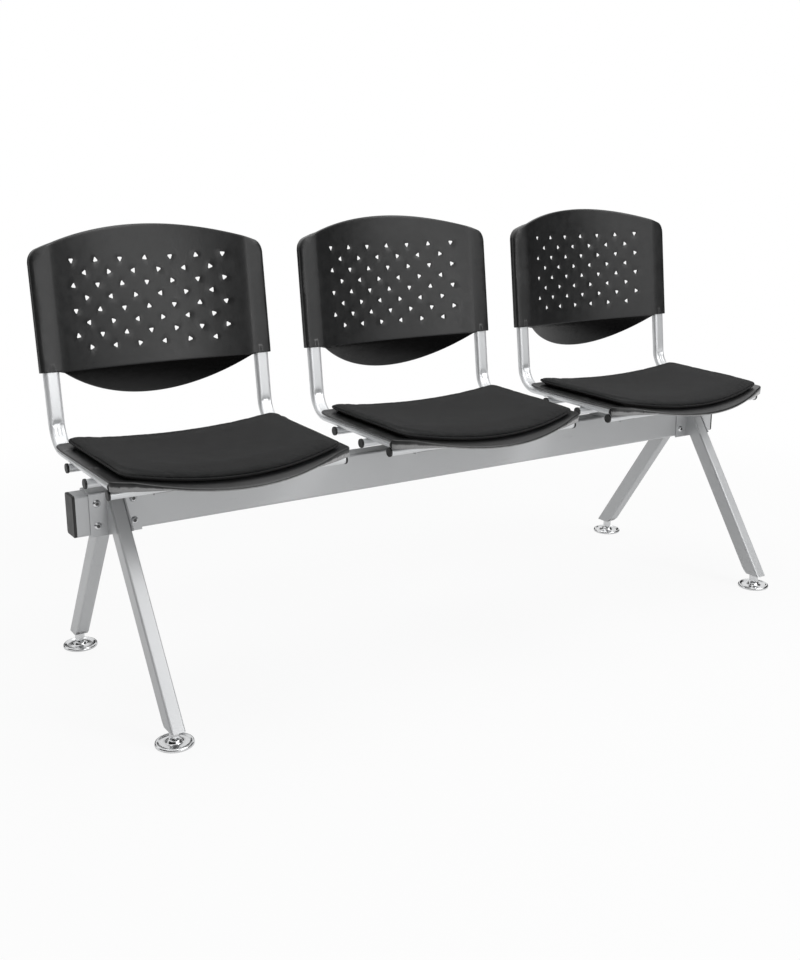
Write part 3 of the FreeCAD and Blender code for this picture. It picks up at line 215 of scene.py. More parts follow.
class Signal:
    """One output of a material's nodes, with the maths that the finishes use."""

    def __init__(self, finish: "FinishTree", socket: Any) -> None:
        """Keep the socket and the tree that it belongs to."""
        self.finish = finish
        self.socket = socket

    def maths(self, operation: str, *others: Union["Signal", float], swapped: bool = False) -> "Signal":
        """Add one Math node.

        Args:
            operation: Its operation.
            others: Its other inputs.
            swapped: Whether the first other input comes first.

        Returns:
            The node's output.
        """
        inputs: list[Union[Signal, float]] = [self, *others]
        if swapped:
            inputs = [others[0], self]
        values = dict(enumerate(inputs))
        return self.finish.node("ShaderNodeMath", {"operation": operation}, values)

    def __add__(self, other: Union["Signal", float]) -> "Signal":
        """Sum."""
        return self.maths("ADD", other)

    def __radd__(self, other: float) -> "Signal":
        """Sum with a number first."""
        return self.maths("ADD", other)

    def __sub__(self, other: Union["Signal", float]) -> "Signal":
        """Difference."""
        return self.maths("SUBTRACT", other)

    def __rsub__(self, other: float) -> "Signal":
        """Difference with a number first."""
        return self.maths("SUBTRACT", other, swapped=True)

    def __mul__(self, other: Union["Signal", float]) -> "Signal":
        """Product."""
        return self.maths("MULTIPLY", other)

    def __rmul__(self, other: float) -> "Signal":
        """Product with a number first."""
        return self.maths("MULTIPLY", other)

    def sine(self) -> "Signal":
        """Sine of the value."""
        return self.maths("SINE")

    def size(self) -> "Signal":
        """Value without its sign."""
        return self.maths("ABSOLUTE")

    def larger(self, other: Union["Signal", float]) -> "Signal":
        """The larger of two values."""
        return self.maths("MAXIMUM", other)

    def step(self, low: float, high: float) -> "Signal":
        """Smooth step from 0 at low to 1 at high."""
        settings = {"interpolation_type": "SMOOTHSTEP"}
        values = {"Value": self, "From Min": low, "From Max": high}
        return self.finish.node("ShaderNodeMapRange", settings, values)


class FinishTree:
    """Nodes of one material, world or floor finish."""

    def __init__(self, tree: bpy.types.NodeTree) -> None:
        """Start from an empty tree."""
        self.tree = tree
        self.tree.nodes.clear()

    def node(
        self,
        kind: str,
        settings: Optional[dict[str, Any]] = None,
        values: Optional[dict[Union[str, int], Any]] = None,
        output: Union[str, int] = 0,
    ) -> Signal:
        """Add one node.

        Args:
            kind: The node's type.
            settings: Its own settings; "stops" are a ramp's (place, colour) pairs.
            values: Numbers, colours or signals for its inputs, by name or place.
            output: Which output is returned.

        Returns:
            The chosen output.
        """
        made = self.tree.nodes.new(kind)
        for key, value in (settings or {}).items():
            if key == "stops":
                self._set_stops(made, value)
            else:
                setattr(made, key, value)
        for key, value in (values or {}).items():
            socket = self._input(made, key)
            if isinstance(value, Signal):
                self.tree.links.new(value.socket, socket)
            else:
                socket.default_value = value
        if isinstance(output, str):
            return Signal(self, next(s for s in made.outputs if s.name == output and s.enabled))
        enabled = [s for s in made.outputs if s.enabled]
        return Signal(self, enabled[output] if enabled else None)

    @staticmethod
    def _input(made: bpy.types.Node, key: Union[str, int]) -> Any:
        """Find an input by its name among those in use, or by its place."""
        if isinstance(key, int):
            return made.inputs[key]
        return next(s for s in made.inputs if s.name == key and s.enabled)

    @staticmethod
    def _set_stops(made: bpy.types.Node, stops: Sequence[tuple[float, Sequence[float]]]) -> None:
        """Give a colour ramp its stops."""
        elements = made.color_ramp.elements
        while len(elements) > 1:
            elements.remove(elements[-1])
        for index, (place, colour) in enumerate(stops):
            element = elements[0] if index == 0 else elements.new(place)
            element.position = place
            element.color = colour

    def mixed(self, share: Union[Signal, float], first: Any, second: Any) -> Signal:
        """Mix of two colours."""
        settings = {"data_type": "RGBA", "clamp_factor": True}
        return self.node("ShaderNodeMix", settings, {"Factor": share, "A": first, "B": second})

    def spot(self) -> Signal:
        """Place on the object, in metres."""
        return self.node("ShaderNodeTexCoord", output="Object")

    def parts(self, vector: Signal) -> tuple[Signal, Signal, Signal]:
        """The three parts of a vector."""
        first = self.node("ShaderNodeSeparateXYZ", values={0: vector})
        outputs = first.socket.node.outputs
        return first, Signal(self, outputs[1]), Signal(self, outputs[2])

    def clouds(
        self,
        scale: float,
        detail: float = 3.0,
        roughness: float = 0.55,
        stretch: Sequence[float] = (1, 1, 1),
    ) -> Signal:
        """Noise over the object.

        Args:
            scale: Spots per metre.
            detail: Number of finer layers.
            roughness: Strength of the finer layers.
            stretch: Scale along each axis.

        Returns:
            A value around 0.5.
        """
        place = self.node("ShaderNodeMapping", values={"Vector": self.spot(), "Scale": stretch})
        values = {"Vector": place, "Scale": scale, "Detail": detail, "Roughness": roughness}
        return self.node("ShaderNodeTexNoise", values=values)

    def cells(self, scale: float) -> Signal:
        """Distance to the nearest of many scattered points."""
        values = {"Vector": self.spot(), "Scale": scale}
        return self.node("ShaderNodeTexVoronoi", {"feature": "F1"}, values)

    def relief(
        self,
        height: Signal,
        depth: float,
        strength: float = 1.0,
        under: Optional[Signal] = None,
    ) -> Signal:
        """Bump from a height signal.

        Args:
            height: The height.
            depth: Its depth in metres.
            strength: How strongly it shows.
            under: A bump that it lies on.

        Returns:
            The bent normal.
        """
        values: dict[Union[str, int], Any] = {"Height": height, "Distance": depth, "Strength": strength}
        if under is not None:
            values["Normal"] = under
        return self.node("ShaderNodeBump", values=values)


def grey(level: float, tint: float = 1.0) -> tuple[float, float, float, float]:
    """A grey; a tint above 1 leans it towards blue."""
    return (level, level * (1 + (tint - 1) / 2), level * tint, 1.0)


def new_material(name: str) -> tuple[bpy.types.Material, FinishTree]:
    """An empty material and its tree."""
    material = bpy.data.materials.new(name)
    material.use_nodes = True
    return material, FinishTree(material.node_tree)


def finish_surface(tree: FinishTree, values: dict[Union[str, int], Any]) -> None:
    """Close a material with its surface shader."""
    surface = tree.node("ShaderNodeBsdfPrincipled", values=values)
    tree.node("ShaderNodeOutputMaterial", values={"Surface": surface})


@dataclass(frozen=True)
class MouldedPlastic:
    """Black moulded plastic with a fine spark-eroded grain and rubbed edges, a painted highlight along the
    seats' lower lip and painted shade on the backs' belly.
    """

    name: str
    dark: float = 0.007
    light: float = 0.012
    roughness: float = 0.37
    grain_scale: float = 900.0
    grain_depth: float = 0.00022
    # Painted shade on the backs' belly, then the belly's roughness.
    belly_painted_shade: float = 0.0025
    belly_roughness: float = 0.2
    # Painted highlight along the seats' lower lip.
    painted_lip_highlight: float = 0.24

    @staticmethod
    def belly(tree: FinishTree) -> Signal:
        """1 on the backs' smooth belly below the crease, 0 elsewhere; the belly's colour is also darkened
        there as painted shade.
        """
        _, y, z = tree.parts(tree.spot())
        lean = math.radians(BackShell.lean)
        behind = y - BackShell.foot_y * MM
        height = behind * math.sin(lean) + (z - BackShell.foot_z * MM) * math.cos(lean)
        return (1.0 - height.step(-0.003, -0.0005)) * z.step(0.49, 0.50)

    def make(self) -> bpy.types.Material:
        """Build the material."""
        material, tree = new_material(self.name)
        flow = tree.clouds(9.0, 4.0, 0.6)
        mottle = tree.clouds(55.0, 5.0, 0.65)
        rub = tree.node("ShaderNodeAttribute", {"attribute_name": "rub"}, output="Fac")
        # Painted highlight along the seats' lower lip, where the rub value goes above 1.
        edge = (rub + mottle * 0.5).step(1.55, 1.8)
        belly = self.belly(tree)
        scuffs = tree.clouds(240.0, 6.0, 0.7, (1, 1, 0.35)).step(0.62, 0.74)
        cast = (flow * 0.6 + mottle * 0.4).step(0.35, 0.65)
        base = tree.mixed(cast, grey(self.dark, 1.06), grey(self.light, 1.04))
        # Rubbed edges lighten; on the seats' lip this adds to the painted highlight.
        wear_and_lip_highlight = tree.mixed((rub * mottle).step(0.2, 0.75) * 0.5, base, grey(self.light * 2.4, 1.02))
        colour = tree.mixed(scuffs * 0.12, wear_and_lip_highlight, grey(self.light * 2.2, 1.0))
        # Mix in the painted lip highlight.
        colour = tree.mixed(edge, colour, grey(self.painted_lip_highlight, 1.0))
        # Painted shade on the backs' belly.
        colour = tree.mixed(belly, colour, grey(self.belly_painted_shade, 1.0))
        grain = tree.clouds(self.grain_scale, 2.0, 0.5) * 0.7 + tree.cells(self.grain_scale * 0.7) * 0.5
        rough = self.roughness + (mottle - 0.5) * 0.22 - rub * 0.06 + scuffs * 0.05
        rough = rough * (1.0 - belly) + belly * self.belly_roughness
        normal = tree.relief(grain, self.grain_depth, 0.55)
        normal = tree.relief(flow, 0.0015, 0.35, normal)
        values = {"Base Color": colour, "Roughness": rough, "Normal": normal, "Specular IOR Level": 0.5}
        finish_surface(tree, values)
        return material


@dataclass(frozen=True)
class PadCloth:
    """Black woven seat cloth with a light fuzz."""

    name: str
    dark: float = 0.005
    light: float = 0.014
    thread: float = 0.0011

    def make(self) -> bpy.types.Material:
        """Build the material."""
        material, tree = new_material(self.name)
        x, y, z = tree.parts(tree.spot())
        wander = (tree.clouds(160.0, 3.0) - 0.5) * (self.thread * 1.2)
        turn = 2 * math.pi / self.thread
        warp = ((x + wander) * turn).sine()
        weft = ((y + wander) * turn + z * turn).sine()
        weave = warp * weft * 0.5 + 0.5
        fuzz = tree.clouds(1500.0, 4.0, 0.7)
        patches = tree.clouds(24.0, 4.0, 0.6)
        shade = (weave * 0.35 + fuzz * 0.45 + patches * 0.35).step(0.3, 0.85)
        colour = tree.mixed(shade, grey(self.dark, 1.05), grey(self.light, 1.04))
        normal = tree.relief(weave * 0.7 + fuzz * 0.6, self.thread * 0.3, 0.8)
        normal = tree.relief(patches, 0.004, 0.25, normal)
        values = {
            "Base Color": colour,
            "Roughness": 0.86 + fuzz * 0.12,
            "Normal": normal,
            "Specular IOR Level": 0.25,
            "Sheen Weight": 0.08,
            "Sheen Roughness": 0.45,
            "Sheen Tint": grey(0.6),
        }
        finish_surface(tree, values)
        return material


@dataclass(frozen=True)
class PaintedSteel:
    """Silver-grey metallic paint with an orange-peel skin, flakes and small dust marks."""

    name: str
    level: float = 0.50
    metallic: float = 0.75
    roughness: float = 0.34
    flake: float = 0.06
    tint: float = 1.03

    def make(self) -> bpy.types.Material:
        """Build the material."""
        material, tree = new_material(self.name)
        flakes = tree.cells(2600.0)
        cloud = tree.clouds(7.0, 4.0, 0.55)
        peel = tree.clouds(330.0, 2.0, 0.4)
        marks = tree.clouds(75.0, 6.0, 0.75, (0.25, 1, 1)).step(0.60, 0.72)
        low = grey(self.level * (1 - self.flake), self.tint)
        high = grey(self.level * (1 + self.flake), self.tint)
        base = tree.mixed(flakes * 0.6 + cloud * 0.5, low, high)
        colour = tree.mixed(marks * 0.16, base, grey(self.level * 0.62, 0.97))
        rough = self.roughness + (cloud - 0.5) * 0.16 + marks * 0.10
        normal = tree.relief(peel, 0.00018, 0.5)
        values = {
            "Base Color": colour,
            "Metallic": self.metallic,
            "Roughness": rough,
            "Normal": normal,
            "Coat Weight": 0.25,
            "Coat Roughness": 0.22,
        }
        finish_surface(tree, values)
        return material


@dataclass(frozen=True)
class BareMetal:
    """Plated or turned metal with fine draw lines and fingerprints."""

    name: str
    level: float = 0.80
    roughness: float = 0.10
    lines: float = 0.3
    tint: float = 1.02

    def make(self) -> bpy.types.Material:
        """Build the material."""
        material, tree = new_material(self.name)
        smudge = tree.clouds(48.0, 5.0, 0.65)
        drawn = tree.clouds(420.0, 3.0, 0.6, (1, 1, 0.06))
        pits = tree.cells(650.0).step(0.0, 0.16)
        smudged = grey(self.level * 0.88, self.tint)
        colour = tree.mixed(smudge.step(0.35, 0.7), smudged, grey(self.level, self.tint))
        colour = tree.mixed((1.0 - pits) * 0.35, colour, grey(self.level * 0.45, 1.0))
        rough = self.roughness + smudge * 0.12 * (0.4 + self.lines) + (drawn - 0.5) * 0.1 * self.lines
        normal = tree.relief(drawn, 0.00008, self.lines)
        finish_surface(tree, {"Base Color": colour, "Metallic": 1.0, "Roughness": rough, "Normal": normal})
        return material


@dataclass(frozen=True)
class PaintedShadeBoard:
    """Pressed board under the pads, coloured black as painted shade in the gap under the pads' edges."""

    name: str
    dark: float = 0.004
    light: float = 0.012

    def make(self) -> bpy.types.Material:
        """Build the material."""
        material, tree = new_material(self.name)
        chips = tree.clouds(120.0, 5.0, 0.7, (1, 4, 1))
        # Black board: painted shade in the gap under the pads' edges.
        colour = tree.mixed(chips.step(0.3, 0.7), grey(self.dark, 0.9), grey(self.light, 0.85))
        normal = tree.relief(chips, 0.0004, 0.6)
        finish_surface(tree, {"Base Color": colour, "Roughness": 0.75 + chips * 0.15, "Normal": normal})
        return material


@dataclass(frozen=True)
class BracketBolt:
    """Zinc-plated dome heads on the brackets, each with painted shade in its spanner socket."""

    name: str
    socket: float = 0.0031
    socket_edge: float = 0.0005
    proud: tuple[float, float] = (0.0245, 0.0255)

    def make(self) -> bpy.types.Material:
        """Build the material."""
        material, tree = new_material(self.name)
        x, y, z = tree.parts(tree.spot())
        sizes = BracketBolts
        across = ((x.size() - sizes.leg_x * MM).size() - sizes.half_pitch_x * MM).size()
        along = ((z - sizes.beam_z * MM).size() - sizes.half_pitch_z * MM).size()
        reach = (across * across + along * along).maths("SQRT")
        away = reach.step(self.socket, self.socket + self.socket_edge)
        # Painted shade inside each socket, by distance from the bolt's axis.
        socket_painted_shade = (1.0 - away) * (0.0 - y).step(*self.proud)
        wear = tree.clouds(300.0, 4.0, 0.6)
        plate = tree.mixed(wear, grey(0.62, 1.02), grey(0.78, 1.02))
        colour = tree.mixed(socket_painted_shade, plate, grey(0.05))
        values = {"Base Color": colour, "Metallic": 1.0 - socket_painted_shade, "Roughness": 0.24 + wear * 0.12}
        finish_surface(tree, values)
        return material


class Finishes:
    """Every finish of the bench, made once, with the CAD nodes that wear each."""

    NODES: dict[Slot, tuple[str, ...]] = {
        Slot.GREY_PAINT: ("beam_tube", "leg_bracket", "front_leg", "rear_leg", "seat_channels"),
        Slot.FRAME_PAINT: ("side_frame", "cross_tubes", "front_tube"),
        Slot.CHROME: ("glide_disc",),
        Slot.BRIGHT_STEEL: (
            "glide_stem", "bracket_bolts", "bracket_nuts", "channel_bolts", "beam_rivet_nuts",
            "seat_screws", "pad_screws", "back_screws",
        ),
        Slot.PLAIN_STEEL: ("leg_inserts",),
        Slot.SHELL_PLASTIC: ("seat_shell", "back_shell"),
        Slot.CAP_PLASTIC: ("beam_end_cap", "tube_caps", "rail_plugs"),
        Slot.PAD_CLOTH: ("seat_pad",),
        Slot.BOARD_WOOD: ("pad_board",),
    }

    def __init__(self) -> None:
        """Make the materials."""
        self.by_slot: dict[Slot, bpy.types.Material] = {
            Slot.GREY_PAINT: PaintedSteel("beam paint", 0.50, 0.50, 0.50).make(),
            Slot.FRAME_PAINT: PaintedSteel("side frame paint", 0.70, 0.60, 0.42, 0.03).make(),
            Slot.CHROME: BareMetal("glide chrome", 0.72, 0.15, 0.2).make(),
            Slot.BRIGHT_STEEL: BareMetal("zinc plating", 0.70, 0.18, 0.4).make(),
            Slot.PLAIN_STEEL: BareMetal("plain steel", 0.42, 0.38, 0.8, 1.0).make(),
            Slot.SHELL_PLASTIC: MouldedPlastic("shell plastic").make(),
            Slot.CAP_PLASTIC: MouldedPlastic("cap plastic", 0.007, 0.012, 0.5, 1400.0, 0.00015).make(),
            Slot.PAD_CLOTH: PadCloth("pad cloth").make(),
            Slot.BOARD_WOOD: PaintedShadeBoard("pad board").make(),
        }
        self.by_node = {"bracket_bolts": BracketBolt("bolt heads").make()}

    def dress_nodes(self, nodes: dict[str, bpy.types.Object]) -> int:
        """Give each CAD node its finish.

        Args:
            nodes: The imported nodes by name.

        Returns:
            The number of nodes dressed.
        """
        dressed = 0
        for slot, prefixes in self.NODES.items():
            for name, node in nodes.items():
                if name.startswith(prefixes):
                    node.data.materials.clear()
                    node.data.materials.append(self.by_node.get(name, self.by_slot[slot]))
                    dressed += 1
        return dressed


class Shape:
    """Points and faces of one piece, in millimetres, with how rubbed each point is; a rub above 1 places a
    painted highlight.
    """

    def __init__(self) -> None:
        """Start empty."""
        self.points: list[Vector] = []
        self.rubs_and_highlights: list[float] = []
        self.faces: list[tuple[int, ...]] = []

    def ring(self, points: Sequence[Vector], rub: float = 0.0) -> list[int]:
        """Add points and return their numbers."""
        start = len(self.points)
        self.points.extend(Vector(point) for point in points)
        self.rubs_and_highlights.extend([rub] * len(points))
        return list(range(start, len(self.points)))

    def bridge(self, first: Sequence[int], second: Sequence[int], closed: bool = True) -> None:
        """Join two rings with a band of faces."""
        count = len(first)
        for index in range(count if closed else count - 1):
            after = (index + 1) % count
            self.faces.append((first[index], first[after], second[after], second[index]))

    def stack(self, rings: Sequence[Sequence[int]], closed: bool = True) -> None:
        """Join each ring to the next."""
        for first, second in zip(rings, rings[1:]):
            self.bridge(first, second, closed)

    def cap(self, ring: Sequence[int]) -> None:
        """Close a ring with a fan around its middle."""
        middle = sum((self.points[i] for i in ring), Vector((0, 0, 0))) / len(ring)
        centre = self.ring([middle])[0]
        for index, number in enumerate(ring):
            self.faces.append((ring[index - 1], number, centre))

    def close(self, rings: Sequence[Sequence[int]]) -> None:
        """Join each ring to the next and close both ends."""
        self.stack(rings)
        self.cap(rings[0])
        self.cap(rings[-1])

    def piece(
        self,
        name: str,
        slot: Slot,
        finishes: "Finishes",
        body: str = BENCH,
        at: Point = (0.0, 0.0),
        crease: float = 38.0,
    ) -> bpy.types.Object:
        """Make the object.

        Args:
            name: The piece's name.
            slot: Its material slot.
            finishes: The finishes to dress it with.
            body: The CAD body that it moves with.
            at: Shift in X and Y.
            crease: Angle in degrees above which an edge stays sharp.

        Returns:
            The object, riding on its body.
        """
        mesh = bpy.data.meshes.new(name)
        shift = Vector((at[0], at[1], 0))
        mesh.from_pydata([(point + shift) * MM for point in self.points], [], self.faces)
        rub = mesh.attributes.new("rub", "FLOAT", "POINT")
        rub.data.foreach_set("value", self.rubs_and_highlights)
        work = bmesh.new()
        work.from_mesh(mesh)
        bmesh.ops.recalc_face_normals(work, faces=work.faces)
        work.to_mesh(mesh)
        work.free()
        for polygon in mesh.polygons:
            polygon.use_smooth = True
        mesh.set_sharp_from_angle(angle=math.radians(crease))
        made = bpy.data.objects.new(name, mesh)
        bpy.context.scene.collection.objects.link(made)
        mesh.materials.append(finishes.by_slot[slot])
        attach(made, body)
        return made

    def stand_in(self, node: str, name: str, *options: Any, **settings: Any) -> bpy.types.Object:
        """Make the object in place of a CAD node.

        Args:
            node: The node that it replaces.
            name: The piece's name.
            options: The slot, the finishes and what else piece takes.
            settings: The same by name.

        Returns:
            The object.
        """
        made = self.piece(name, *options, **settings)
        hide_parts(node)
        return made


@dataclass
class MouldedSheet:
    """A moulded wall drawn flat as an outline with openings, then pushed into space by its two surfaces."""

    outline: Loop
    openings: list[Loop]
    seeds: Loop
    rim_steps: tuple[float, ...]
    opening_steps: tuple[float, ...]
    # Rub scale of the under skin's rim; above 1 it places a painted highlight.
    under_wear_and_highlight: float = 1.0

    def build(self, front: Surface, rear: Surface) -> Shape:
        """Build both skins and the walls between them.

        Args:
            front: Place of a point of the front skin.
            rear: Place of a point of the rear skin.

        Returns:
            The closed shape.
        """
        shape = Shape()
        front_rings = self._skin(shape, front, 1.0)
        rear_rings = self._skin(shape, rear, self.under_wear_and_highlight)
        for first, second in zip(front_rings, rear_rings):
            shape.bridge(first, second)
        return shape

    def _skin(self, shape: Shape, surface: Surface, wear_and_lip_highlight: float) -> list[list[int]]:
        """Add one skin; returns the ring at its rim and those at its openings."""
        edges: list[list[int]] = []
        flat: Loop = []
        numbers: list[int] = []
        loops: list[range] = []
        for index, loop in enumerate([self.outline, *self.openings]):
            outer = index == 0
            steps = self.rim_steps if outer else self.opening_steps
            rings = []
            for step in steps:
                moved = inset_loop(loop, step if outer else -step)
                places = [surface(a, b, step if outer else FAR, FAR if outer else step) for a, b in moved]
                # A rub above 1 on the under skin's rim places a painted highlight in the plastic.
                rings.append(shape.ring(places, max(1 - step / steps[-1], 0.0) * (wear_and_lip_highlight if outer else 0.5)))
            shape.stack(rings)
            edges.append(rings[0])
            loops.append(range(len(flat), len(flat) + len(moved)))
            flat.extend(moved)
            numbers.extend(rings[-1])
        flat.extend(self.seeds)
        numbers.extend(shape.ring([surface(a, b, FAR, FAR) for a, b in self.seeds]))
        self._fill(shape, surface, flat, numbers, loops)
        return edges

    @staticmethod
    def _fill(shape: Shape, surface: Surface, flat: Loop, numbers: list[int], loops: list[range]) -> None:
        """Fill the space between the innermost rings with triangles."""
        bounds = [(run[i - 1], run[i]) for run in loops for i in range(len(run))]
        found = delaunay_2d_cdt([Vector(point) for point in flat], bounds, [], 0, 1e-4, True)
        verts, _, triangles, origins = found[0], found[1], found[2], found[3]
        owner = {number: index for index, run in enumerate(loops) for number in run}
        rim = [flat[i] for i in loops[0]]
        names = []
        for vert, origin in zip(verts, origins):
            if origin:
                names.append((numbers[origin[0]], owner.get(origin[0], -1)))
            else:
                names.append((shape.ring([surface(vert.x, vert.y, FAR, FAR)])[0], -1))
        for triangle in triangles:
            owners = {names[i][1] for i in triangle}
            if len(owners) == 1 and owners != {-1}:
                middle = sum((verts[i] for i in triangle), Vector((0, 0))) / 3
                if owners != {0} or not inside(rim, middle.x, middle.y):
                    continue
            shape.faces.append(tuple(names[i][0] for i in triangle))

    @staticmethod
    def spread(outline: Loop, pitch: float, margin: float, blocked: Callable[[float, float], bool]) -> Loop:
        """Seeds on a staggered grid inside an outline.

        Args:
            outline: The outline.
            pitch: Distance between seeds.
            margin: Least distance from the outline.
            blocked: Whether a place is too close to something else.

        Returns:
            The seeds.
        """
        inner = inset_loop(outline, margin)
        low_a = min(point[0] for point in inner)
        high_a = max(point[0] for point in inner)
        low_b = min(point[1] for point in inner)
        high_b = max(point[1] for point in inner)
        seeds: Loop = []
        for row in range(int((high_b - low_b) / pitch) + 1):
            b = low_b + row * pitch
            for column in range(int((high_a - low_a) / pitch) + 1):
                a = low_a + (column + 0.5 * (row % 2)) * pitch
                if inside(inner, a, b) and not blocked(a, b):
                    seeds.append((a, b))
        return seeds


@dataclass
class BackShell:
    """Moulded back: curved panel with triangular holes, side sleeves, rolled rim and a tucked belly."""

    panel_half: float = 193.5
    recess: float = 41.0
    skin: float = 3.5
    height: float = 263.0
    taper: float = 1.0
    top_radius: float = 590.0
    corner: float = 28.0
    rim_height: float = 7.0
    rim_depth: float = 9.0
    belly_drop: float = 58.0
    belly_tuck: float = 0.45
    side_half: float = 232.5
    sleeve_depth: float = 21.0
    sleeve_top_depth: float = 12.0
    sleeve_straight: float = 208.4
    sleeve_round: float = 8.0
    rim_round: float = 2.4
    foot_y: float = 153.0
    foot_z: float = 583.0
    lean: float = 6.8
    hole_side: float = 11.5
    hole_round: float = 1.6
    hole_edge: float = 0.8
    hole_rows: int = 8
    hole_top_row: float = 199.0
    hole_row_pitch: float = 22.9
    hole_pitch: float = 50.2
    hole_sway: float = 9.0
    pitch: float = 9.5
    hole_margin: float = 3.2
    seed_margin: float = 11.0
    sleeve_rows: int = 24
    sleeve_pitch: float = 9.6
    sleeve_start: float = 5.5
    crease_seeds: int = 40
    crease_margin: float = 8.0
    crease_rows: tuple[float, ...] = (2.4, 0.0, -2.4)
    side_insets: tuple[float, ...] = (3.6, 5.2, 8.4)
    rim_steps: tuple[float, ...] = (0.0, 0.2, 0.6, 1.3, 2.5)
    hole_steps: tuple[float, ...] = (0.0, 0.25, 0.8)

    TURNS = (
        (180, 0, 180, 0, 180, 0, 180),
        (90, -90, 90, -90, 90, -90),
        (0, 180, 0, 180, -90, 180, -90),
        (-90, 90, -90, 90, -90, 90),
    )

    def __post_init__(self) -> None:
        """Work out the panel's curve and the round corners' centres."""
        self.panel_radius = (self.panel_half ** 2 + self.recess ** 2) / (2 * self.recess)
        self.front_plane = self.foot_y - self.sleeve_depth / 2
        self.panel_centre = self.front_plane + self.recess - self.panel_radius
        self.top_centre = self.height - self.top_radius
        self.corner_h = self.height
        for _ in range(12):
            self.corner_x = self.side(self.corner_h) - self.corner
            reach = self.top_radius - self.corner
            self.corner_h = self.top_centre + math.sqrt(reach ** 2 - self.corner_x ** 2)
        self.corner_turn = math.degrees(math.atan2(self.corner_h - self.top_centre, self.corner_x))

    def side(self, h: float) -> float:
        """Half width at a height above the sleeves' foot."""
        return self.side_half - self.taper * h / self.height

    def place(self, x: float, y: float, h: float) -> Vector:
        """Point of the leaned back from its upright place."""
        lean = math.radians(self.lean)
        deep = y - self.foot_y
        return Vector((
            x,
            self.foot_y + deep * math.cos(lean) + h * math.sin(lean),
            self.foot_z - deep * math.sin(lean) + h * math.cos(lean),
        ))

    def panel_y(self, x: float) -> float:
        """Depth of the panel's front face."""
        return self.panel_centre + math.sqrt(self.panel_radius ** 2 - x ** 2)

    def edge(self, x: float, h: float) -> tuple[float, float]:
        """Distance to the outline and the rounding radius there."""
        across = abs(x) - self.corner_x
        above = h - self.corner_h
        to_top = self.top_radius - math.hypot(x, h - self.top_centre)
        to_side = self.side(h) - abs(x)
        if across > 0 and above > 0:
            share = math.degrees(math.atan2(above, across)) / self.corner_turn
            radius = blended(self.sleeve_round, self.rim_round, eased(share, 0.1, 1.0))
            if share < 1:
                return self.corner - math.hypot(across, above), radius
            return to_top, self.rim_round
        if to_side < to_top:
            return to_side, self.sleeve_round
        return to_top, self.rim_round

    def base(self, x: float, h: float) -> float:
        """Depth of the front before its edges are rounded."""
        level = soft_max(self.panel_y(x), self.front_plane, 3.0)
        return level + self.tuck(h)

    def tuck(self, h: float) -> float:
        """How far the belly has gone back below the crease."""
        return max(soft_max(-h, 0.0, 3.0) - soft_max(0.0, 0.0, 3.0), 0.0) * self.belly_tuck

    def bottom_round(self, x: float, h: float, rim: float) -> float:
        """Rounding of the lower edges."""
        distance = rim if abs(x) < self.panel_half and h < 1 else max(h, 0.0)
        return fillet(distance, 1.2)

    def front(self, x: float, h: float, rim: float, opening: float) -> Vector:
        """Point of the front skin."""
        distance, radius = self.edge(x, h)
        depth = self.base(x, h) + fillet(distance, radius)
        depth += self.bottom_round(x, h, rim)
        depth += fillet(opening, self.hole_edge)
        return self.place(x, depth, h)

    def rear(self, x: float, h: float, rim: float, opening: float) -> Vector:
        """Point of the rear skin."""
        distance, radius = self.edge(x, h)
        to_top = self.top_radius - math.hypot(x, h - self.top_centre)
        past_rim = eased(to_top, self.rim_height - 0.8, self.rim_height + 0.8)
        wall = blended(self.rim_depth, self.skin, past_rim)
        panel = self.panel_y(x) + self.tuck(h) + wall
        narrowed = max(h - self.sleeve_straight, 0.0) / (self.height - self.sleeve_straight)
        sleeve = self.front_plane + blended(self.sleeve_depth, self.sleeve_top_depth, narrowed)
        depth = blended(panel, sleeve, eased(abs(x), self.panel_half - 2.0, self.panel_half + 1.0))
        depth -= fillet(distance, radius) + self.bottom_round(x, h, rim) + fillet(opening, self.hole_edge)
        return self.place(x, depth, h)

    def outline(self) -> Loop:
        """Front view of the back, counter-clockwise from the left sleeve's foot."""
        belly_radius = (self.panel_half ** 2 + self.belly_drop ** 2) / (2 * self.belly_drop)
        spread = math.degrees(math.asin(self.panel_half / belly_radius))
        foot = self.side(0)
        sleeve = line_points((self.panel_half, 0), (foot - 3, 0), 7) + [(foot, 0)]
        belly_centre = (0, belly_radius - self.belly_drop)
        belly = arc_points(belly_centre, belly_radius, -90 - spread, -90 + spread, 56)
        rise = line_points((foot, 0), (self.side(self.corner_h), self.corner_h), 22)
        turn = arc_points((self.corner_x, self.corner_h), self.corner, 0, self.corner_turn, 12)
        last_turn = 180 - self.corner_turn
        top = arc_points((0, self.top_centre), self.top_radius, self.corner_turn, last_turn, 48)
        right = joined(sleeve, rise, turn)
        left = [(-x, h) for x, h in reversed(right)]
        return joined(belly, right, top, left)

    def hole_places(self) -> list[tuple[float, float, float]]:
        """Centre and turn of each hole in the panel."""
        places = []
        for row in range(self.hole_rows):
            count = 7 - row % 2
            turns = self.TURNS[row % len(self.TURNS)]
            for column in range(count):
                x = (column - (count - 1) / 2) * self.hole_pitch
                sway = self.hole_sway * math.sin(2.4 * row + 1.7 * column)
                places.append((x, self.hole_top_row - row * self.hole_row_pitch, turns[column] + sway))
        return places

    def hole(self, x: float, h: float, turn: float) -> Loop:
        """Counter-clockwise loop of one rounded triangular hole."""
        reach = self.hole_side / math.sqrt(3) - 2 * self.hole_round
        loop: Loop = []
        for index in range(3):
            angle = 90 + turn + 120 * index
            centre = (x + reach * math.cos(math.radians(angle)), h + reach * math.sin(math.radians(angle)))
            loop += arc_points(centre, self.hole_round, angle - 60, angle + 60, 4)
        return loop

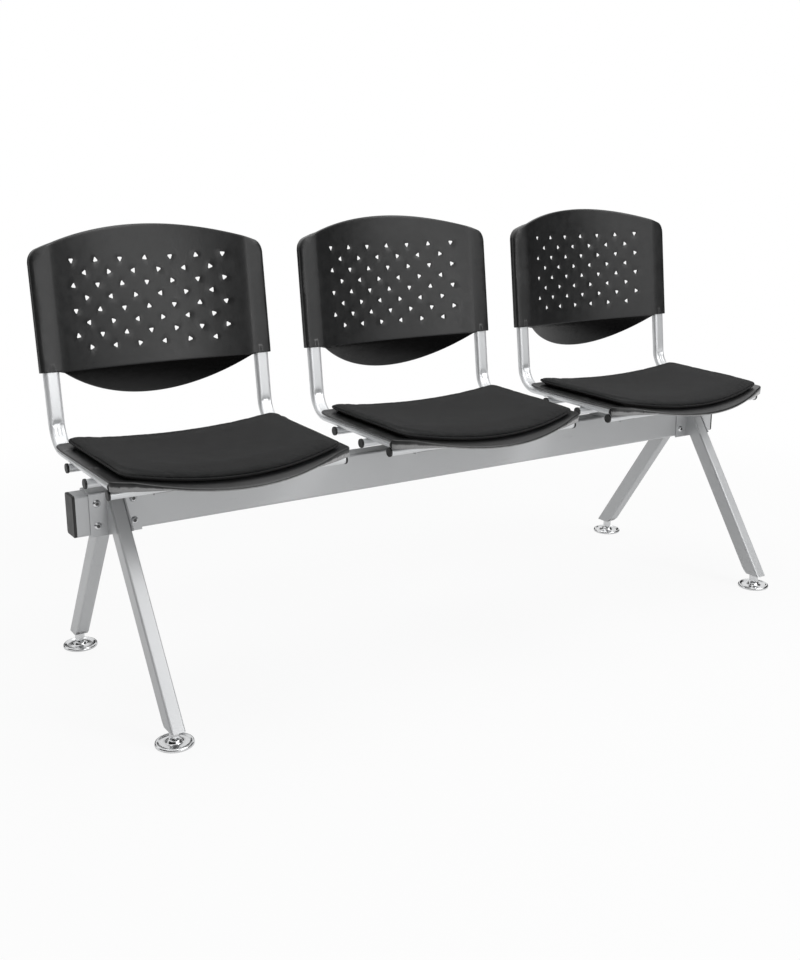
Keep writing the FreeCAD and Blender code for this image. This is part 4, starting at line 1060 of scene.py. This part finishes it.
    def build(self, finishes: Finishes) -> list[bpy.types.Object]:
        """Build the three backs.

        Args:
            finishes: The finishes to dress them with.

        Returns:
            The three pieces.
        """
        outline = self.outline()
        holes = self.hole_places()
        keep_out = self.hole_side * 0.58 + self.hole_margin
        strips = [self.panel_half - 2.4, self.panel_half - 0.5, self.panel_half + 1.6]

        def blocked(x: float, h: float) -> bool:
            """Whether a seed would crowd a hole, a crease or a sleeve's edge."""
            if any(math.hypot(x - hole[0], h - hole[1]) < keep_out for hole in holes):
                return True
            return abs(abs(x) - self.panel_half) < 5 and h > -2 or abs(h) < 4

        seeds = MouldedSheet.spread(outline, self.pitch, self.seed_margin, blocked)
        for side in (-1, 1):
            for step in range(self.sleeve_rows):
                h = self.sleeve_start + step * self.sleeve_pitch
                seeds += [(side * x, h) for x in strips if self.edge(x, h)[0] > 4]
                sides = [self.side(h) - inset for inset in self.side_insets]
                seeds += [(side * x, h) for x in sides if self.edge(x, h)[0] > 3.1]
        reach = self.panel_half - self.crease_margin
        for step in range(self.crease_seeds):
            x = -reach + step * 2 * reach / (self.crease_seeds - 1)
            seeds += [(x, h) for h in self.crease_rows]
        ridge = inset_loop(outline, self.rim_height + 1.0)
        lip = inset_loop(outline, self.rim_height - 1.0)
        for inner in (ridge, lip):
            seeds += [(x, h) for x, h in inner if h > self.corner_h and abs(x) < self.corner_x]
        openings = [self.hole(*hole) for hole in holes]
        sheet = MouldedSheet(outline, openings, seeds, self.rim_steps, self.hole_steps)
        shape = sheet.build(self.front, self.rear)
        dress = (Slot.SHELL_PLASTIC, finishes)
        return [
            shape.stand_in(f"back_shell_{number}", f"back_moulding_{number}", *dress, at=(centre, 0))
            for number, centre in SEATS
        ]


@dataclass(frozen=True)
class BowedPlan:
    """Plan of a seat or pad: bowed front, tapered sides, straight rear and four round corners."""

    rear: float
    front: float
    rear_half: float
    front_half: float
    bow: float
    front_corner: float
    rear_corner: float

    def corner(self) -> tuple[Point, float, float]:
        """Centre of the right front corner's round, and its first and last angle."""
        rear = Vector((self.rear_half, self.rear))
        lean = Vector((self.front_half, self.front)) - rear
        along = lean.normalized()
        inward = Vector((along.y, -along.x))
        centre = Vector((0.0, self.front + self.bow))
        start = rear + inward * self.front_corner - centre
        reach = self.bow - self.front_corner
        half = start.dot(along)
        travel = -half + math.sqrt(half ** 2 - start.dot(start) + reach ** 2)
        corner = centre + start + along * travel
        bow_turn = math.degrees(math.atan2(corner.y - centre.y, corner.x - centre.x))
        side_turn = math.degrees(math.atan2(-inward.y, -inward.x))
        return (corner.x, corner.y), bow_turn, side_turn

    def outline(self, pace: float) -> Loop:
        """Counter-clockwise loop with a point about every pace along its four sides."""
        corner, bow_turn, side_turn = self.corner()
        wide = round(2 * self.rear_half / pace)
        bow = arc_points((0.0, self.front + self.bow), self.bow, -180 - bow_turn, bow_turn, wide)
        turn = arc_points(corner, self.front_corner, bow_turn, side_turn, 10)
        knee = (self.rear_half - self.rear_corner, self.rear - self.rear_corner)
        side = line_points(turn[-1], (self.rear_half, knee[1]), round((self.rear - self.front) / pace))
        back = arc_points(knee, self.rear_corner, 0, 90, 9)
        right = joined(turn, side, back)
        left = [(-x, y) for x, y in reversed(right)]
        return joined(bow, right, line_points(right[-1], left[0], wide), left)

    def to_bow(self, x: float, y: float) -> float:
        """Distance of a place inside from the bowed front."""
        return self.bow - math.hypot(x, y - self.front - self.bow)

    def inset(self, x: float, y: float) -> float:
        """Distance of a place inside from the nearest side, the corners taken as sharp."""
        side = blended(self.front_half, self.rear_half, (y - self.front) / (self.rear - self.front))
        return min(side - abs(x), self.rear - y, self.to_bow(x, y))


@dataclass
class SeatSaddle:
    """The saddle surface that the seat shell and its pad share."""

    rail_z: float = 445.5
    rail_z_at: float = 38.5
    rail_drop: float = 0.9
    stand: float = 11.7
    flange: float = 190.0
    sag: float = 14.0
    rear: float = 97.0
    front: float = -242.0
    flare_start: float = 58.0
    flare_rise: float = 4.5
    fall_start: float = -165.0
    fall: float = 9.0

    def __post_init__(self) -> None:
        """Work out the radius of the sagging arc."""
        self.radius = (self.flange ** 2 + self.sag ** 2) / (2 * self.sag)

    def level(self, y: float) -> float:
        """Height of the side flange."""
        height = self.rail_z + math.tan(math.radians(self.rail_drop)) * (y - self.rail_z_at) + self.stand
        if y > self.flare_start:
            height += self.flare_rise * ((y - self.flare_start) / (self.rear - self.flare_start)) ** 2
        if y < self.fall_start:
            height -= self.fall * ((y - self.fall_start) / (self.front - self.fall_start)) ** 2
        return height

    def rise(self, x: float) -> float:
        """Rise of the arc above its lowest point."""
        return self.radius - math.sqrt(self.radius ** 2 - x ** 2)

    def height(self, x: float, y: float) -> float:
        """Top of the shell."""
        dip = max(self.sag - self.rise(x), 0.0) if abs(x) < self.flange else 0.0
        return self.level(y) - dip


@dataclass
class SeatShell:
    """Moulded seat: a saddle with flat flanges, a bowed front lip and a turned-down rim."""

    saddle: SeatSaddle
    plan: BowedPlan = BowedPlan(97.0, -242.0, 232.0, 225.0, 430.0, 14.0, 12.0)
    skin: float = 4.0
    rim: float = 5.5
    rim_wall: float = 3.5
    apron_rear: float = -172.0
    apron_bottom: float = 436.3
    top_round: float = 2.2
    under_round: float = 1.2
    boss_places: tuple[float, ...] = (54.0, -83.0)
    boss_rise: float = 2.0
    boss_length: float = 4.0
    boss_inner: tuple[float, float] = (206.0, 214.0)
    boss_outer: tuple[float, float] = (222.0, 229.0)
    pitch: float = 11.0
    pace: float = 8.5
    seed_margin: float = 8.0
    seed_limit: float = 200.0
    flange_seeds: tuple[float, ...] = (203.5, 208.0, 212.0, 217.5, 223.0)
    flange_start: float = -215.0
    flange_rows: int = 104
    flange_pitch: float = 3.0
    rim_steps: tuple[float, ...] = (0.0, 0.25, 0.7, 1.3, 2.3, 3.3, 4.1)
    # Above 1, the lip's under rim gets a painted highlight.
    lip_wear_and_highlight: float = 1.9

    def outline(self) -> Loop:
        """Plan of the seat, with points on both sides of the apron's ends."""
        loop = self.plan.outline(self.pace)
        for y in (self.apron_rear - 1, self.apron_rear + 1):
            loop = crossed(loop, y)
        return loop

    def bosses(self, x: float, y: float) -> float:
        """Rise of the shallow ridges across the flanges."""
        across = eased(abs(x), *self.boss_inner) * (1 - eased(abs(x), *self.boss_outer))
        along = sum(math.exp(-((y - place) / self.boss_length) ** 2) for place in self.boss_places)
        return self.boss_rise * across * along

    def top(self, x: float, y: float, rim: float, _opening: float) -> Vector:
        """Point of the upper skin."""
        return Vector((x, y, self.saddle.height(x, y) + self.bosses(x, y) - fillet(rim, self.top_round)))

    def under(self, x: float, y: float, rim: float, _opening: float) -> Vector:
        """Point of the under skin."""
        wall_end = (self.rim_wall - 0.2, self.rim_wall + 0.6)
        to_ends = min(self.plan.to_bow(x, y), self.plan.rear - y)
        level = self.saddle.height(x, y) - blended(self.rim, self.skin, eased(to_ends, *wall_end))
        apron = eased(self.apron_rear - y, -0.5, 0.5) * (1 - eased(rim, *wall_end))
        level = blended(level, min(level, self.apron_bottom), apron)
        return Vector((x, y, level + fillet(rim, self.under_round)))

    def build(self, finishes: Finishes) -> list[bpy.types.Object]:
        """Build the three seats.

        Args:
            finishes: The finishes to dress them with.

        Returns:
            The three pieces.
        """
        outline = self.outline()
        inner = inset_loop(outline, 6.5)
        seeds = MouldedSheet.spread(
            outline, self.pitch, self.seed_margin, lambda x, y: abs(x) > self.seed_limit
        )
        for side in (-1, 1):
            for step in range(self.flange_rows):
                y = self.flange_start + step * self.flange_pitch
                places = [(side * x, y) for x in self.flange_seeds]
                seeds += [place for place in places if inside(inner, *place)]
        seeds += inset_loop(outline, 5.6)[::2]
        sheet = MouldedSheet(outline, [], seeds, self.rim_steps, (), self.lip_wear_and_highlight)
        shape = sheet.build(self.top, self.under)
        dress = (Slot.SHELL_PLASTIC, finishes)
        return [
            shape.stand_in(f"seat_shell_{number}", f"seat_moulding_{number}", *dress, at=(centre, 0))
            for number, centre in SEATS
        ]


@dataclass
class SeatPad:
    """Thin foam cushion in woven cloth, with a crowned top, swollen sides and a hem below."""

    saddle: SeatSaddle
    plan: BowedPlan = BowedPlan(92.0, -214.0, 209.0, 204.0, 600.0, 22.0, 16.0)
    pace: float = 8.5
    lift: float = 4.6
    edge_height: float = 8.6
    crown: float = 3.0
    crown_reach: float = 55.0
    voxel: float = 3.6
    pressure: float = 4.0
    frames: int = 20
    cap: float = 2.2
    hem_radius: float = 1.9
    hem_reach: float = 0.9
    hem_sides: int = 8
    inner_rings: int = 12
    fine_wave: float = 0.16
    slow_wave: float = 0.35

    PROFILE = (
        (-9.0, 0.00), (-3.5, 0.00), (-1.2, 0.04), (0.6, 0.16), (1.7, 0.32), (2.1, 0.48),
        (1.6, 0.64), (0.2, 0.79), (-2.2, 0.90), (-5.5, 0.965), (-9.5, 1.0), (-14.0, 1.02),
    )

    def floor(self, x: float, y: float) -> float:
        """Underside of the pad."""
        return self.saddle.height(0.0, y) + self.lift + self.saddle.rise(x)

    def crowned(self, inset: float) -> float:
        """Rise of the pad's top with the distance from its edge."""
        return self.crown * eased(inset, 9.0, self.crown_reach)

    def form(self) -> Shape:
        """The pad before it is swollen."""
        outline = self.plan.outline(self.pace)
        shape = Shape()
        rings = []
        for outset, share in self.PROFILE:
            loop = inset_loop(outline, -outset)
            rings.append(shape.ring([
                Vector((x, y, self.floor(x, y) + self.edge_height * share)) for x, y in loop
            ]))
        shape.stack(rings)
        middle = (self.plan.rear + self.plan.front) / 2
        for side, start in ((1, rings[-1]), (-1, rings[0])):
            previous = start
            first = [shape.points[i].copy() for i in start]
            for step in range(1, self.inner_rings):
                share = step / self.inner_rings
                ring = []
                for point in first:
                    x = point.x * (1 - share)
                    y = blended(point.y, middle, share)
                    inset = self.plan.inset(x, y)
                    rise = self.edge_height * 1.02 + self.crowned(inset) if side > 0 else 0.0
                    ring.append(Vector((x, y, self.floor(x, y) + rise)))
                current = shape.ring(ring)
                shape.bridge(previous, current)
                previous = current
            shape.cap(previous)
        return shape

    def swell(self, piece: bpy.types.Object) -> None:
        """Swell the foam under its cover with a cloth simulation, within a cap.

        Args:
            piece: The pad, still in its first shape.
        """
        remesh = piece.modifiers.new("foam", "REMESH")
        remesh.mode = "VOXEL"
        remesh.voxel_size = self.voxel * MM
        remesh.use_smooth_shade = True
        self._apply(piece, remesh.name)
        before = [vertex.co.copy() for vertex in piece.data.vertices]
        cloth = piece.modifiers.new("cover", "CLOTH")
        settings = cloth.settings
        settings.quality = 5
        settings.use_pressure = True
        settings.uniform_pressure_force = self.pressure
        settings.effector_weights.gravity = 0.0
        settings.tension_stiffness = 12
        settings.bending_stiffness = 0.6
        cloth.point_cache.frame_start = 1
        cloth.point_cache.frame_end = self.frames
        scene = bpy.context.scene
        for frame in range(1, self.frames + 1):
            scene.frame_set(frame)
        self._apply(piece, cloth.name)
        scene.frame_set(1)
        for vertex, start in zip(piece.data.vertices, before):
            move = vertex.co - start
            if move.length > self.cap * MM:
                move.length = self.cap * MM
            place = start + move
            x = place.x / MM
            y = place.y / MM
            low = self.floor(x, y) * MM
            place.z = max(place.z, low)
            vertex.co = place

    @staticmethod
    def _apply(piece: bpy.types.Object, name: str) -> None:
        """Apply one modifier."""
        with bpy.context.temp_override(object=piece, active_object=piece, selected_objects=[piece]):
            bpy.ops.object.modifier_apply(modifier=name)

    def pucker(self, piece: bpy.types.Object) -> None:
        """Work small soft creases into the cover along its edges."""
        for vertex in piece.data.vertices:
            x = vertex.co.x / MM
            y = vertex.co.y / MM
            inset = self.plan.inset(x, y)
            near = 1 - eased(inset, 4.0, 34.0)
            along = x if inset in (self.plan.rear - y, self.plan.to_bow(x, y)) else y
            wave = math.sin(along / 7.3) * math.sin(along / 3.1 + 1.3) + 0.5 * math.sin(along / 17.0 + 0.7)
            slow = math.sin(x / 61.0 + 0.4) * math.sin(y / 47.0 + 1.1)
            above = eased(vertex.co.z / MM - self.floor(x, y), 3.0, 7.0)
            vertex.co.z += (self.fine_wave * wave * near + self.slow_wave * slow) * above * MM

    def hem(self) -> Shape:
        """Sewn hem that runs round the pad's lower edge."""
        shape = Shape()
        loop = inset_loop(self.plan.outline(self.pace), -self.hem_reach)
        path = [Vector((x, y, self.floor(x, y) + self.hem_radius * 0.9)) for x, y in loop]
        rings = []
        for index, centre in enumerate(path):
            ahead = (path[(index + 1) % len(path)] - path[index - 1]).normalized()
            out = ahead.cross(Vector((0, 0, 1))).normalized()
            up = out.cross(ahead).normalized()
            rings.append(shape.ring([
                centre + (out * math.cos(turn) + up * math.sin(turn)) * self.hem_radius
                for turn in full_turn(self.hem_sides)
            ]))
        shape.stack(rings + rings[:1])
        return shape

    def build(self, finishes: Finishes) -> list[bpy.types.Object]:
        """Build the three pads and their hems.

        Args:
            finishes: The finishes to dress them with.

        Returns:
            The pads.
        """
        first = self.form().piece("seat_cushion_2", Slot.PAD_CLOTH, finishes, crease=80)
        self.swell(first)
        self.pucker(first)
        hem = self.hem()
        made = []
        for number, centre in SEATS:
            pad = first
            if number != 2:
                pad = bpy.data.objects.new(f"seat_cushion_{number}", first.data.copy())
                pad.data.transform(Matrix.Translation((centre * MM, 0, 0)))
                bpy.context.scene.collection.objects.link(pad)
                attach(pad, BENCH)
            smooth = pad.modifiers.new("soft", "SUBSURF")
            smooth.levels = 1
            smooth.render_levels = 1
            for polygon in pad.data.polygons:
                polygon.use_smooth = True
            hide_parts(f"seat_pad_{number}")
            hem.piece(f"cushion_hem_{number}", Slot.PAD_CLOTH, finishes, at=(centre, 0), crease=80)
            made.append(pad)
        return made


@dataclass
class SideFrames:
    """Oval tubes: a rail under the seat that bends up into the back's upright, pinched at the bend."""

    half_width: float = 15.0
    half_depth: float = 7.5
    across: float = 212.0
    rail_z: float = 445.5
    rail_z_at: float = 38.5
    drop: float = 0.9
    front: float = -165.0
    bend: float = 50.0
    foot_y: float = 153.0
    foot_z: float = 583.0
    lean: float = 6.8
    top: float = 782.0
    dent: float = 2.4
    rib: float = 0.55
    rib_pitch: float = 6.0
    bend_steps: int = 44

    RUN = (-120.0, -60.0, 0.0, 60.0)
    RISES = (1.5, 3.0, 5.0, 8.0, 12.0, 18.0, 30.0, 60.0, 95.0, 140.0, 220.0)

    def path(self) -> list[tuple[float, float, float, float]]:
        """Centre (y, z), direction in degrees and share of the bend, along the tube."""
        slope = math.tan(math.radians(self.drop))
        lean = math.tan(math.radians(self.lean))
        base = self.rail_z - slope * self.rail_z_at
        meet_y = (self.foot_y + lean * (base - self.foot_z)) / (1 - lean * slope)
        meet_z = base + slope * meet_y
        last = 90 - self.lean
        tangent = self.bend * math.tan(math.radians(last - self.drop) / 2)
        down = math.radians(self.drop)
        start_y = meet_y - tangent * math.cos(down)
        start_z = meet_z - tangent * math.sin(down)
        centre_y = start_y - self.bend * math.sin(down)
        centre_z = start_z + self.bend * math.cos(down)
        stations = [(y, base + slope * y, self.drop, 0.0) for y in (self.front, *self.RUN)]
        for step in range(self.bend_steps + 1):
            share = step / self.bend_steps
            turn = blended(self.drop, last, share)
            angle = math.radians(turn)
            stations.append((
                centre_y + self.bend * math.sin(angle),
                centre_z - self.bend * math.cos(angle),
                turn,
                share,
            ))
        end_y, end_z = stations[-1][0], stations[-1][1]
        for rise in (*self.RISES, self.top - end_z):
            stations.append((end_y + rise * lean, end_z + rise, last, 1.0 + rise / 70.0))
        return stations

    def relief(self, a: float, b: float, share: float) -> float:
        """How far the pinch moves a point of the inner side inward."""
        if b <= 0 or share <= 0:
            return 0.0
        middle = 1 - eased(abs(a), 4.0, 11.0)
        pinch = math.exp(-((share - 0.98) / 0.07) ** 2) * self.dent * middle
        window = eased(share, 0.5, 0.6) * (1 - eased(share, 0.82, 0.92))
        wave = 0.5 - 0.5 * math.cos(2 * math.pi * a / self.rib_pitch)
        ribs = self.rib * window * wave * (1 - eased(abs(a), 9.0, 12.0))
        flat = 0.5 * middle * eased(share, 0.1, 0.5) * (1 - eased(share, 1.0, 1.2))
        return (pinch + ribs + flat) * eased(b, 2.0, 6.5)

    def section(self) -> Loop:
        """Oval section, counter-clockwise."""
        flat = self.half_width - self.half_depth
        upper = line_points((flat, self.half_depth), (-flat, self.half_depth), 12)
        left = arc_points((-flat, 0), self.half_depth, 90, 270, 10)
        lower = line_points((-flat, -self.half_depth), (flat, -self.half_depth), 6)
        right = arc_points((flat, 0), self.half_depth, -90, 90, 10)
        return joined(upper, left, lower, right)

    def build(self, finishes: Finishes) -> list[bpy.types.Object]:
        """Build the six side frames.

        Args:
            finishes: The finishes to dress them with.

        Returns:
            The six pieces.
        """
        shape = Shape()
        section = self.section()
        rings = []
        for y, z, turn, share in self.path():
            angle = math.radians(turn)
            ring = []
            for a, b in section:
                depth = b - self.relief(a, b, share)
                ring.append(Vector((a, y - depth * math.sin(angle), z + depth * math.cos(angle))))
            rings.append(shape.ring(ring))
        shape.close(rings)
        made = []
        for number, centre in SEATS:
            for name, side in SIDES:
                spot = f"{name}_{number}"
                at = (centre + side * self.across, 0)
                dress = (Slot.FRAME_PAINT, finishes)
                made.append(shape.stand_in(f"side_frame_{spot}", f"side_tube_{spot}", *dress, at=at))
        return made


@dataclass
class Glides:
    """Pressed chrome feet that swivel under the legs."""

    leg_x: float = 712.5
    foot_y: float = 250.0
    segments: int = 80
    crease: float = 50.0

    PROFILE = (
        (30.5, 0.0), (32.6, 0.25), (33.7, 1.1), (34.0, 2.2), (34.0, 3.6), (33.7, 4.9), (33.0, 6.0),
        (31.9, 6.8), (30.8, 7.0), (29.7, 6.8), (28.6, 6.1), (27.4, 5.1), (25.8, 4.5), (23.5, 4.35),
        (20.0, 4.5), (17.0, 4.75), (15.0, 5.2), (13.6, 6.2), (12.8, 7.8), (12.3, 9.4), (11.5, 10.8),
        (10.3, 11.7), (9.0, 12.0), (5.05, 12.0), (5.05, 3.2),
    )

    def build(self, finishes: Finishes) -> list[bpy.types.Object]:
        """Build the four feet.

        Args:
            finishes: The finishes to dress them with.

        Returns:
            The four pieces.
        """
        shape = Shape()
        rings = []
        for radius, z in self.PROFILE:
            rings.append(shape.ring([
                Vector((radius * math.cos(turn), radius * math.sin(turn), z))
                for turn in full_turn(self.segments)
            ]))
        shape.close(rings)
        made = []
        for end_name, end in ENDS:
            for side_name, side in SIDES:
                spot = f"{end_name}_{side_name}"
                at = (side * self.leg_x, end * self.foot_y)
                dress = (Slot.CHROME, finishes, f"disc_{spot}", at, self.crease)
                made.append(shape.stand_in(f"glide_disc_{spot}", f"glide_foot_{spot}", *dress))
        return made


@dataclass
class BracketBolts:
    """Dome head bolts with hexagon sockets, through the saddle plates and the beam."""

    leg_x: float = 712.5
    beam_z: float = 355.0
    half_pitch_x: float = 33.5
    half_pitch_z: float = 20.5
    face: float = -24.0
    tail: float = 33.0
    radius: float = 7.0
    height: float = 4.4
    shank: float = 4.0
    flat: float = 2.9
    socket_depth: float = 2.2
    segments: int = 48

    def dome(self, radius: float) -> float:
        """Depth of the domed head at a distance from its axis."""
        ball = (self.radius ** 2 + self.height ** 2) / (2 * self.height)
        return self.face - self.height + ball - math.sqrt(ball ** 2 - radius ** 2)

    def rings(self) -> list[tuple[float, float, bool]]:
        """Radius, depth and whether it is the socket's hexagon, from the socket's floor to the tail."""
        top = self.face - self.height
        mouth = self.flat * 1.25
        rings = [(self.flat, top + self.socket_depth, True), (self.flat, self.dome(mouth) + 0.1, True)]
        for share in (0.0, 0.2, 0.4, 0.6, 0.8, 0.93, 1.0):
            radius = blended(mouth, self.radius, share)
            rings.append((radius, self.dome(radius), False))
        rings.append((self.shank, self.face, False))
        rings.append((self.shank, self.tail - 0.8, False))
        rings.append((self.shank - 0.8, self.tail, False))
        return rings

    def add(self, shape: Shape, x: float, z: float) -> None:
        """Add one bolt to the shape."""
        rings = []
        for radius, depth, hexagonal in self.rings():
            ring = []
            for angle in full_turn(self.segments):
                reach = radius
                if hexagonal:
                    reach = radius / math.cos((angle + math.pi / 6) % (math.pi / 3) - math.pi / 6)
                ring.append(Vector((x + reach * math.cos(angle), depth, z + reach * math.sin(angle))))
            rings.append(shape.ring(ring))
        shape.close(rings)

    def build(self, finishes: Finishes) -> list[bpy.types.Object]:
        """Build the eight bolts.

        Args:
            finishes: The finishes to dress them with.

        Returns:
            The one piece that holds them.
        """
        shape = Shape()
        for side in (-1, 1):
            for across in (-1, 1):
                for up in (-1, 1):
                    x = side * self.leg_x + across * self.half_pitch_x
                    self.add(shape, x, self.beam_z + up * self.half_pitch_z)
        piece = shape.stand_in("bracket_bolts", "saddle_bolts", Slot.BRIGHT_STEEL, finishes, crease=30)
        piece.data.materials[0] = finishes.by_node["bracket_bolts"]
        return [piece]


@dataclass
class Studio:
    """White studio: floor, world, soft lamps and the photograph's camera."""

    eye: tuple[float, float, float] = (-1.37767, -2.00557, 0.96930)
    yaw: float = 32.5285
    pitch: float = 15.3287
    roll: float = 0.0421
    lens: float = 44.752
    floor_level: float = 0.62
    floor_white: float = 0.90
    floor_near: float = 0.9
    floor_far: float = 2.2
    floor_reach: float = 14.0
    flag_reach: float = 3.6
    flag_foot: float = 0.01
    flag_steps: int = 24
    flag_places: tuple[tuple[float, float, float], ...] = (
        (-110.0, -16.0, 2.4), (44.0, 112.0, 2.4), (135.0, 225.0, 1.5),
    )

    def camera(self) -> None:
        """Place the camera."""
        data = bpy.data.cameras.new("camera")
        data.lens = self.lens
        data.sensor_width = 36.0
        data.sensor_fit = "AUTO"
        data.clip_start = 0.05
        data.clip_end = 50.0
        camera = bpy.data.objects.new("camera", data)
        turn = Matrix.Rotation(-math.radians(self.yaw), 4, "Z")
        tilt = Matrix.Rotation(math.radians(90 - self.pitch), 4, "X")
        roll = Matrix.Rotation(-math.radians(self.roll), 4, "Z")
        camera.matrix_world = Matrix.Translation(self.eye) @ turn @ tilt @ roll
        bpy.context.scene.collection.objects.link(camera)
        bpy.context.scene.camera = camera

    @staticmethod
    def seen(tree: FinishTree, mirrored: Union[Signal, float] = 1.0) -> Signal:
        """1 for what the camera or a glass sees, the mirrored share in a gloss, 0 for plain light."""
        path = tree.node("ShaderNodeLightPath", output="Is Camera Ray")
        outputs = path.socket.node.outputs
        glossy = Signal(tree, outputs["Is Glossy Ray"]) * mirrored
        through = Signal(tree, outputs["Is Transmission Ray"])
        return path.larger(glossy).larger(through)

    def world(self) -> None:
        """White surroundings; their plain light is dimmer on the left."""
        world = bpy.data.worlds.new("studio")
        world.use_nodes = True
        bpy.context.scene.world = world
        tree = FinishTree(world.node_tree)
        x, y, z = tree.parts(tree.node("ShaderNodeTexCoord", output="Generated"))
        seen = self.seen(tree)
        level = 0.36 + (x + y * 0.15).step(-0.95, 0.1) * 0.44 + z.step(0.2, 0.9) * 0.16
        strength = seen + (1.0 - seen) * level
        light = tree.node("ShaderNodeBackground", values={"Color": grey(1.0), "Strength": strength})
        tree.node("ShaderNodeOutputWorld", values={"Surface": light})

    def floor(self) -> None:
        """White floor that keeps a soft shadow and runs out to plain white; its reflection carries painted
        shade under the bench.
        """
        material, tree = new_material("studio floor")
        x, y, _ = tree.parts(tree.spot())
        far = (x * x + y * y).step(self.floor_near ** 2, self.floor_far ** 2)
        # Painted shade: under the bench the floor's glow in gloss drops by up to half.
        under = 1.0 - (x * x * 0.3 + y * y).step(0.05, 0.5)
        share = self.seen(tree, 1.0 - under * 0.5) * (self.floor_white + far * (1 - self.floor_white))
        diffuse = tree.node("ShaderNodeBsdfDiffuse", values={"Color": grey(self.floor_level)})
        glow = tree.node("ShaderNodeEmission", values={"Color": grey(1.0), "Strength": 1.0})
        surface = tree.node("ShaderNodeMixShader", values={0: share, 1: diffuse, 2: glow})
        tree.node("ShaderNodeOutputMaterial", values={"Surface": surface})
        reach = self.floor_reach
        corners = [(-reach, -reach, 0), (reach, -reach, 0), (reach, reach, 0), (-reach, reach, 0)]
        self.stand("floor", corners, [(0, 1, 2, 3)], material)

    @staticmethod
    def stand(
        name: str,
        points: list[Any],
        faces: list[Any],
        material: bpy.types.Material,
    ) -> bpy.types.Object:
        """Add a piece of the studio that isn't part of the bench."""
        mesh = bpy.data.meshes.new(name)
        mesh.from_pydata(points, [], faces)
        mesh.materials.append(material)
        made = bpy.data.objects.new(name, mesh)
        bpy.context.scene.collection.objects.link(made)
        return made

    def flags(self) -> None:
        """Dark upright cloths round the bench that only its gloss shows."""
        material, tree = new_material("studio flag")
        cloth = tree.node("ShaderNodeBsdfDiffuse", values={"Color": grey(0.02)})
        tree.node("ShaderNodeOutputMaterial", values={"Surface": cloth})
        for number, (first, last, top) in enumerate(self.flag_places, 1):
            arc = arc_points((0.0, 0.0), self.flag_reach, first - 90, last - 90, self.flag_steps)
            points = [(x, y, z) for x, y in arc for z in (self.flag_foot, top)]
            faces = [(2 * i, 2 * i + 2, 2 * i + 3, 2 * i + 1) for i in range(self.flag_steps)]
            flag = self.stand(f"flag_{number}", points, faces, material)
            flag.visible_camera = False
            flag.visible_diffuse = False
            flag.visible_shadow = False

    LAMPS = (
        ("key", (1.6, -2.6, 2.9), (0.0, 0.0, 0.45), 1.6, 55.0),
        ("top", (-0.2, 0.4, 3.2), (0.0, 0.0, 0.4), 2.4, 30.0),
        ("glint", (-0.05, -2.6, 0.8), (-0.4, 0.1, 0.7), 0.5, 5.0),
    )

    @staticmethod
    def lamp(name: str, place: Sequence[float], aim: Sequence[float], size: float, power: float) -> None:
        """Add a soft square lamp.

        Args:
            name: Its name.
            place: Where it hangs, in metres.
            aim: The point that it faces.
            size: Its side length.
            power: Its power in watts.
        """
        data = bpy.data.lights.new(name, "AREA")
        data.size = size
        data.energy = power
        lamp = bpy.data.objects.new(name, data)
        lamp.location = place
        lamp.rotation_euler = (Vector(aim) - Vector(place)).to_track_quat("-Z", "Y").to_euler()
        lamp.visible_camera = False
        bpy.context.scene.collection.objects.link(lamp)

    def build(self) -> None:
        """Build the whole studio."""
        settings = bpy.context.scene.view_settings
        settings.view_transform = "Standard"
        self.camera()
        self.world()
        self.floor()
        self.flags()
        for lamp in self.LAMPS:
            self.lamp(*lamp)


def main() -> None:
    """Dress the bench piece by piece."""
    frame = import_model()
    finishes = Finishes()
    LOG.info("dressed %d CAD nodes", finishes.dress_nodes(frame["nodes"]))
    saddle = SeatSaddle()
    makers = (
        BackShell(),
        SeatShell(saddle),
        SeatPad(saddle),
        SideFrames(),
        Glides(),
        BracketBolts(),
    )
    for maker in makers:
        for piece in maker.build(finishes):
            LOG.info("%s: %d faces", piece.name, len(piece.data.polygons))
    Studio().build()


if __name__ == "__main__":
    logging.basicConfig(level=logging.INFO, format="%(name)s: %(message)s")
    main()
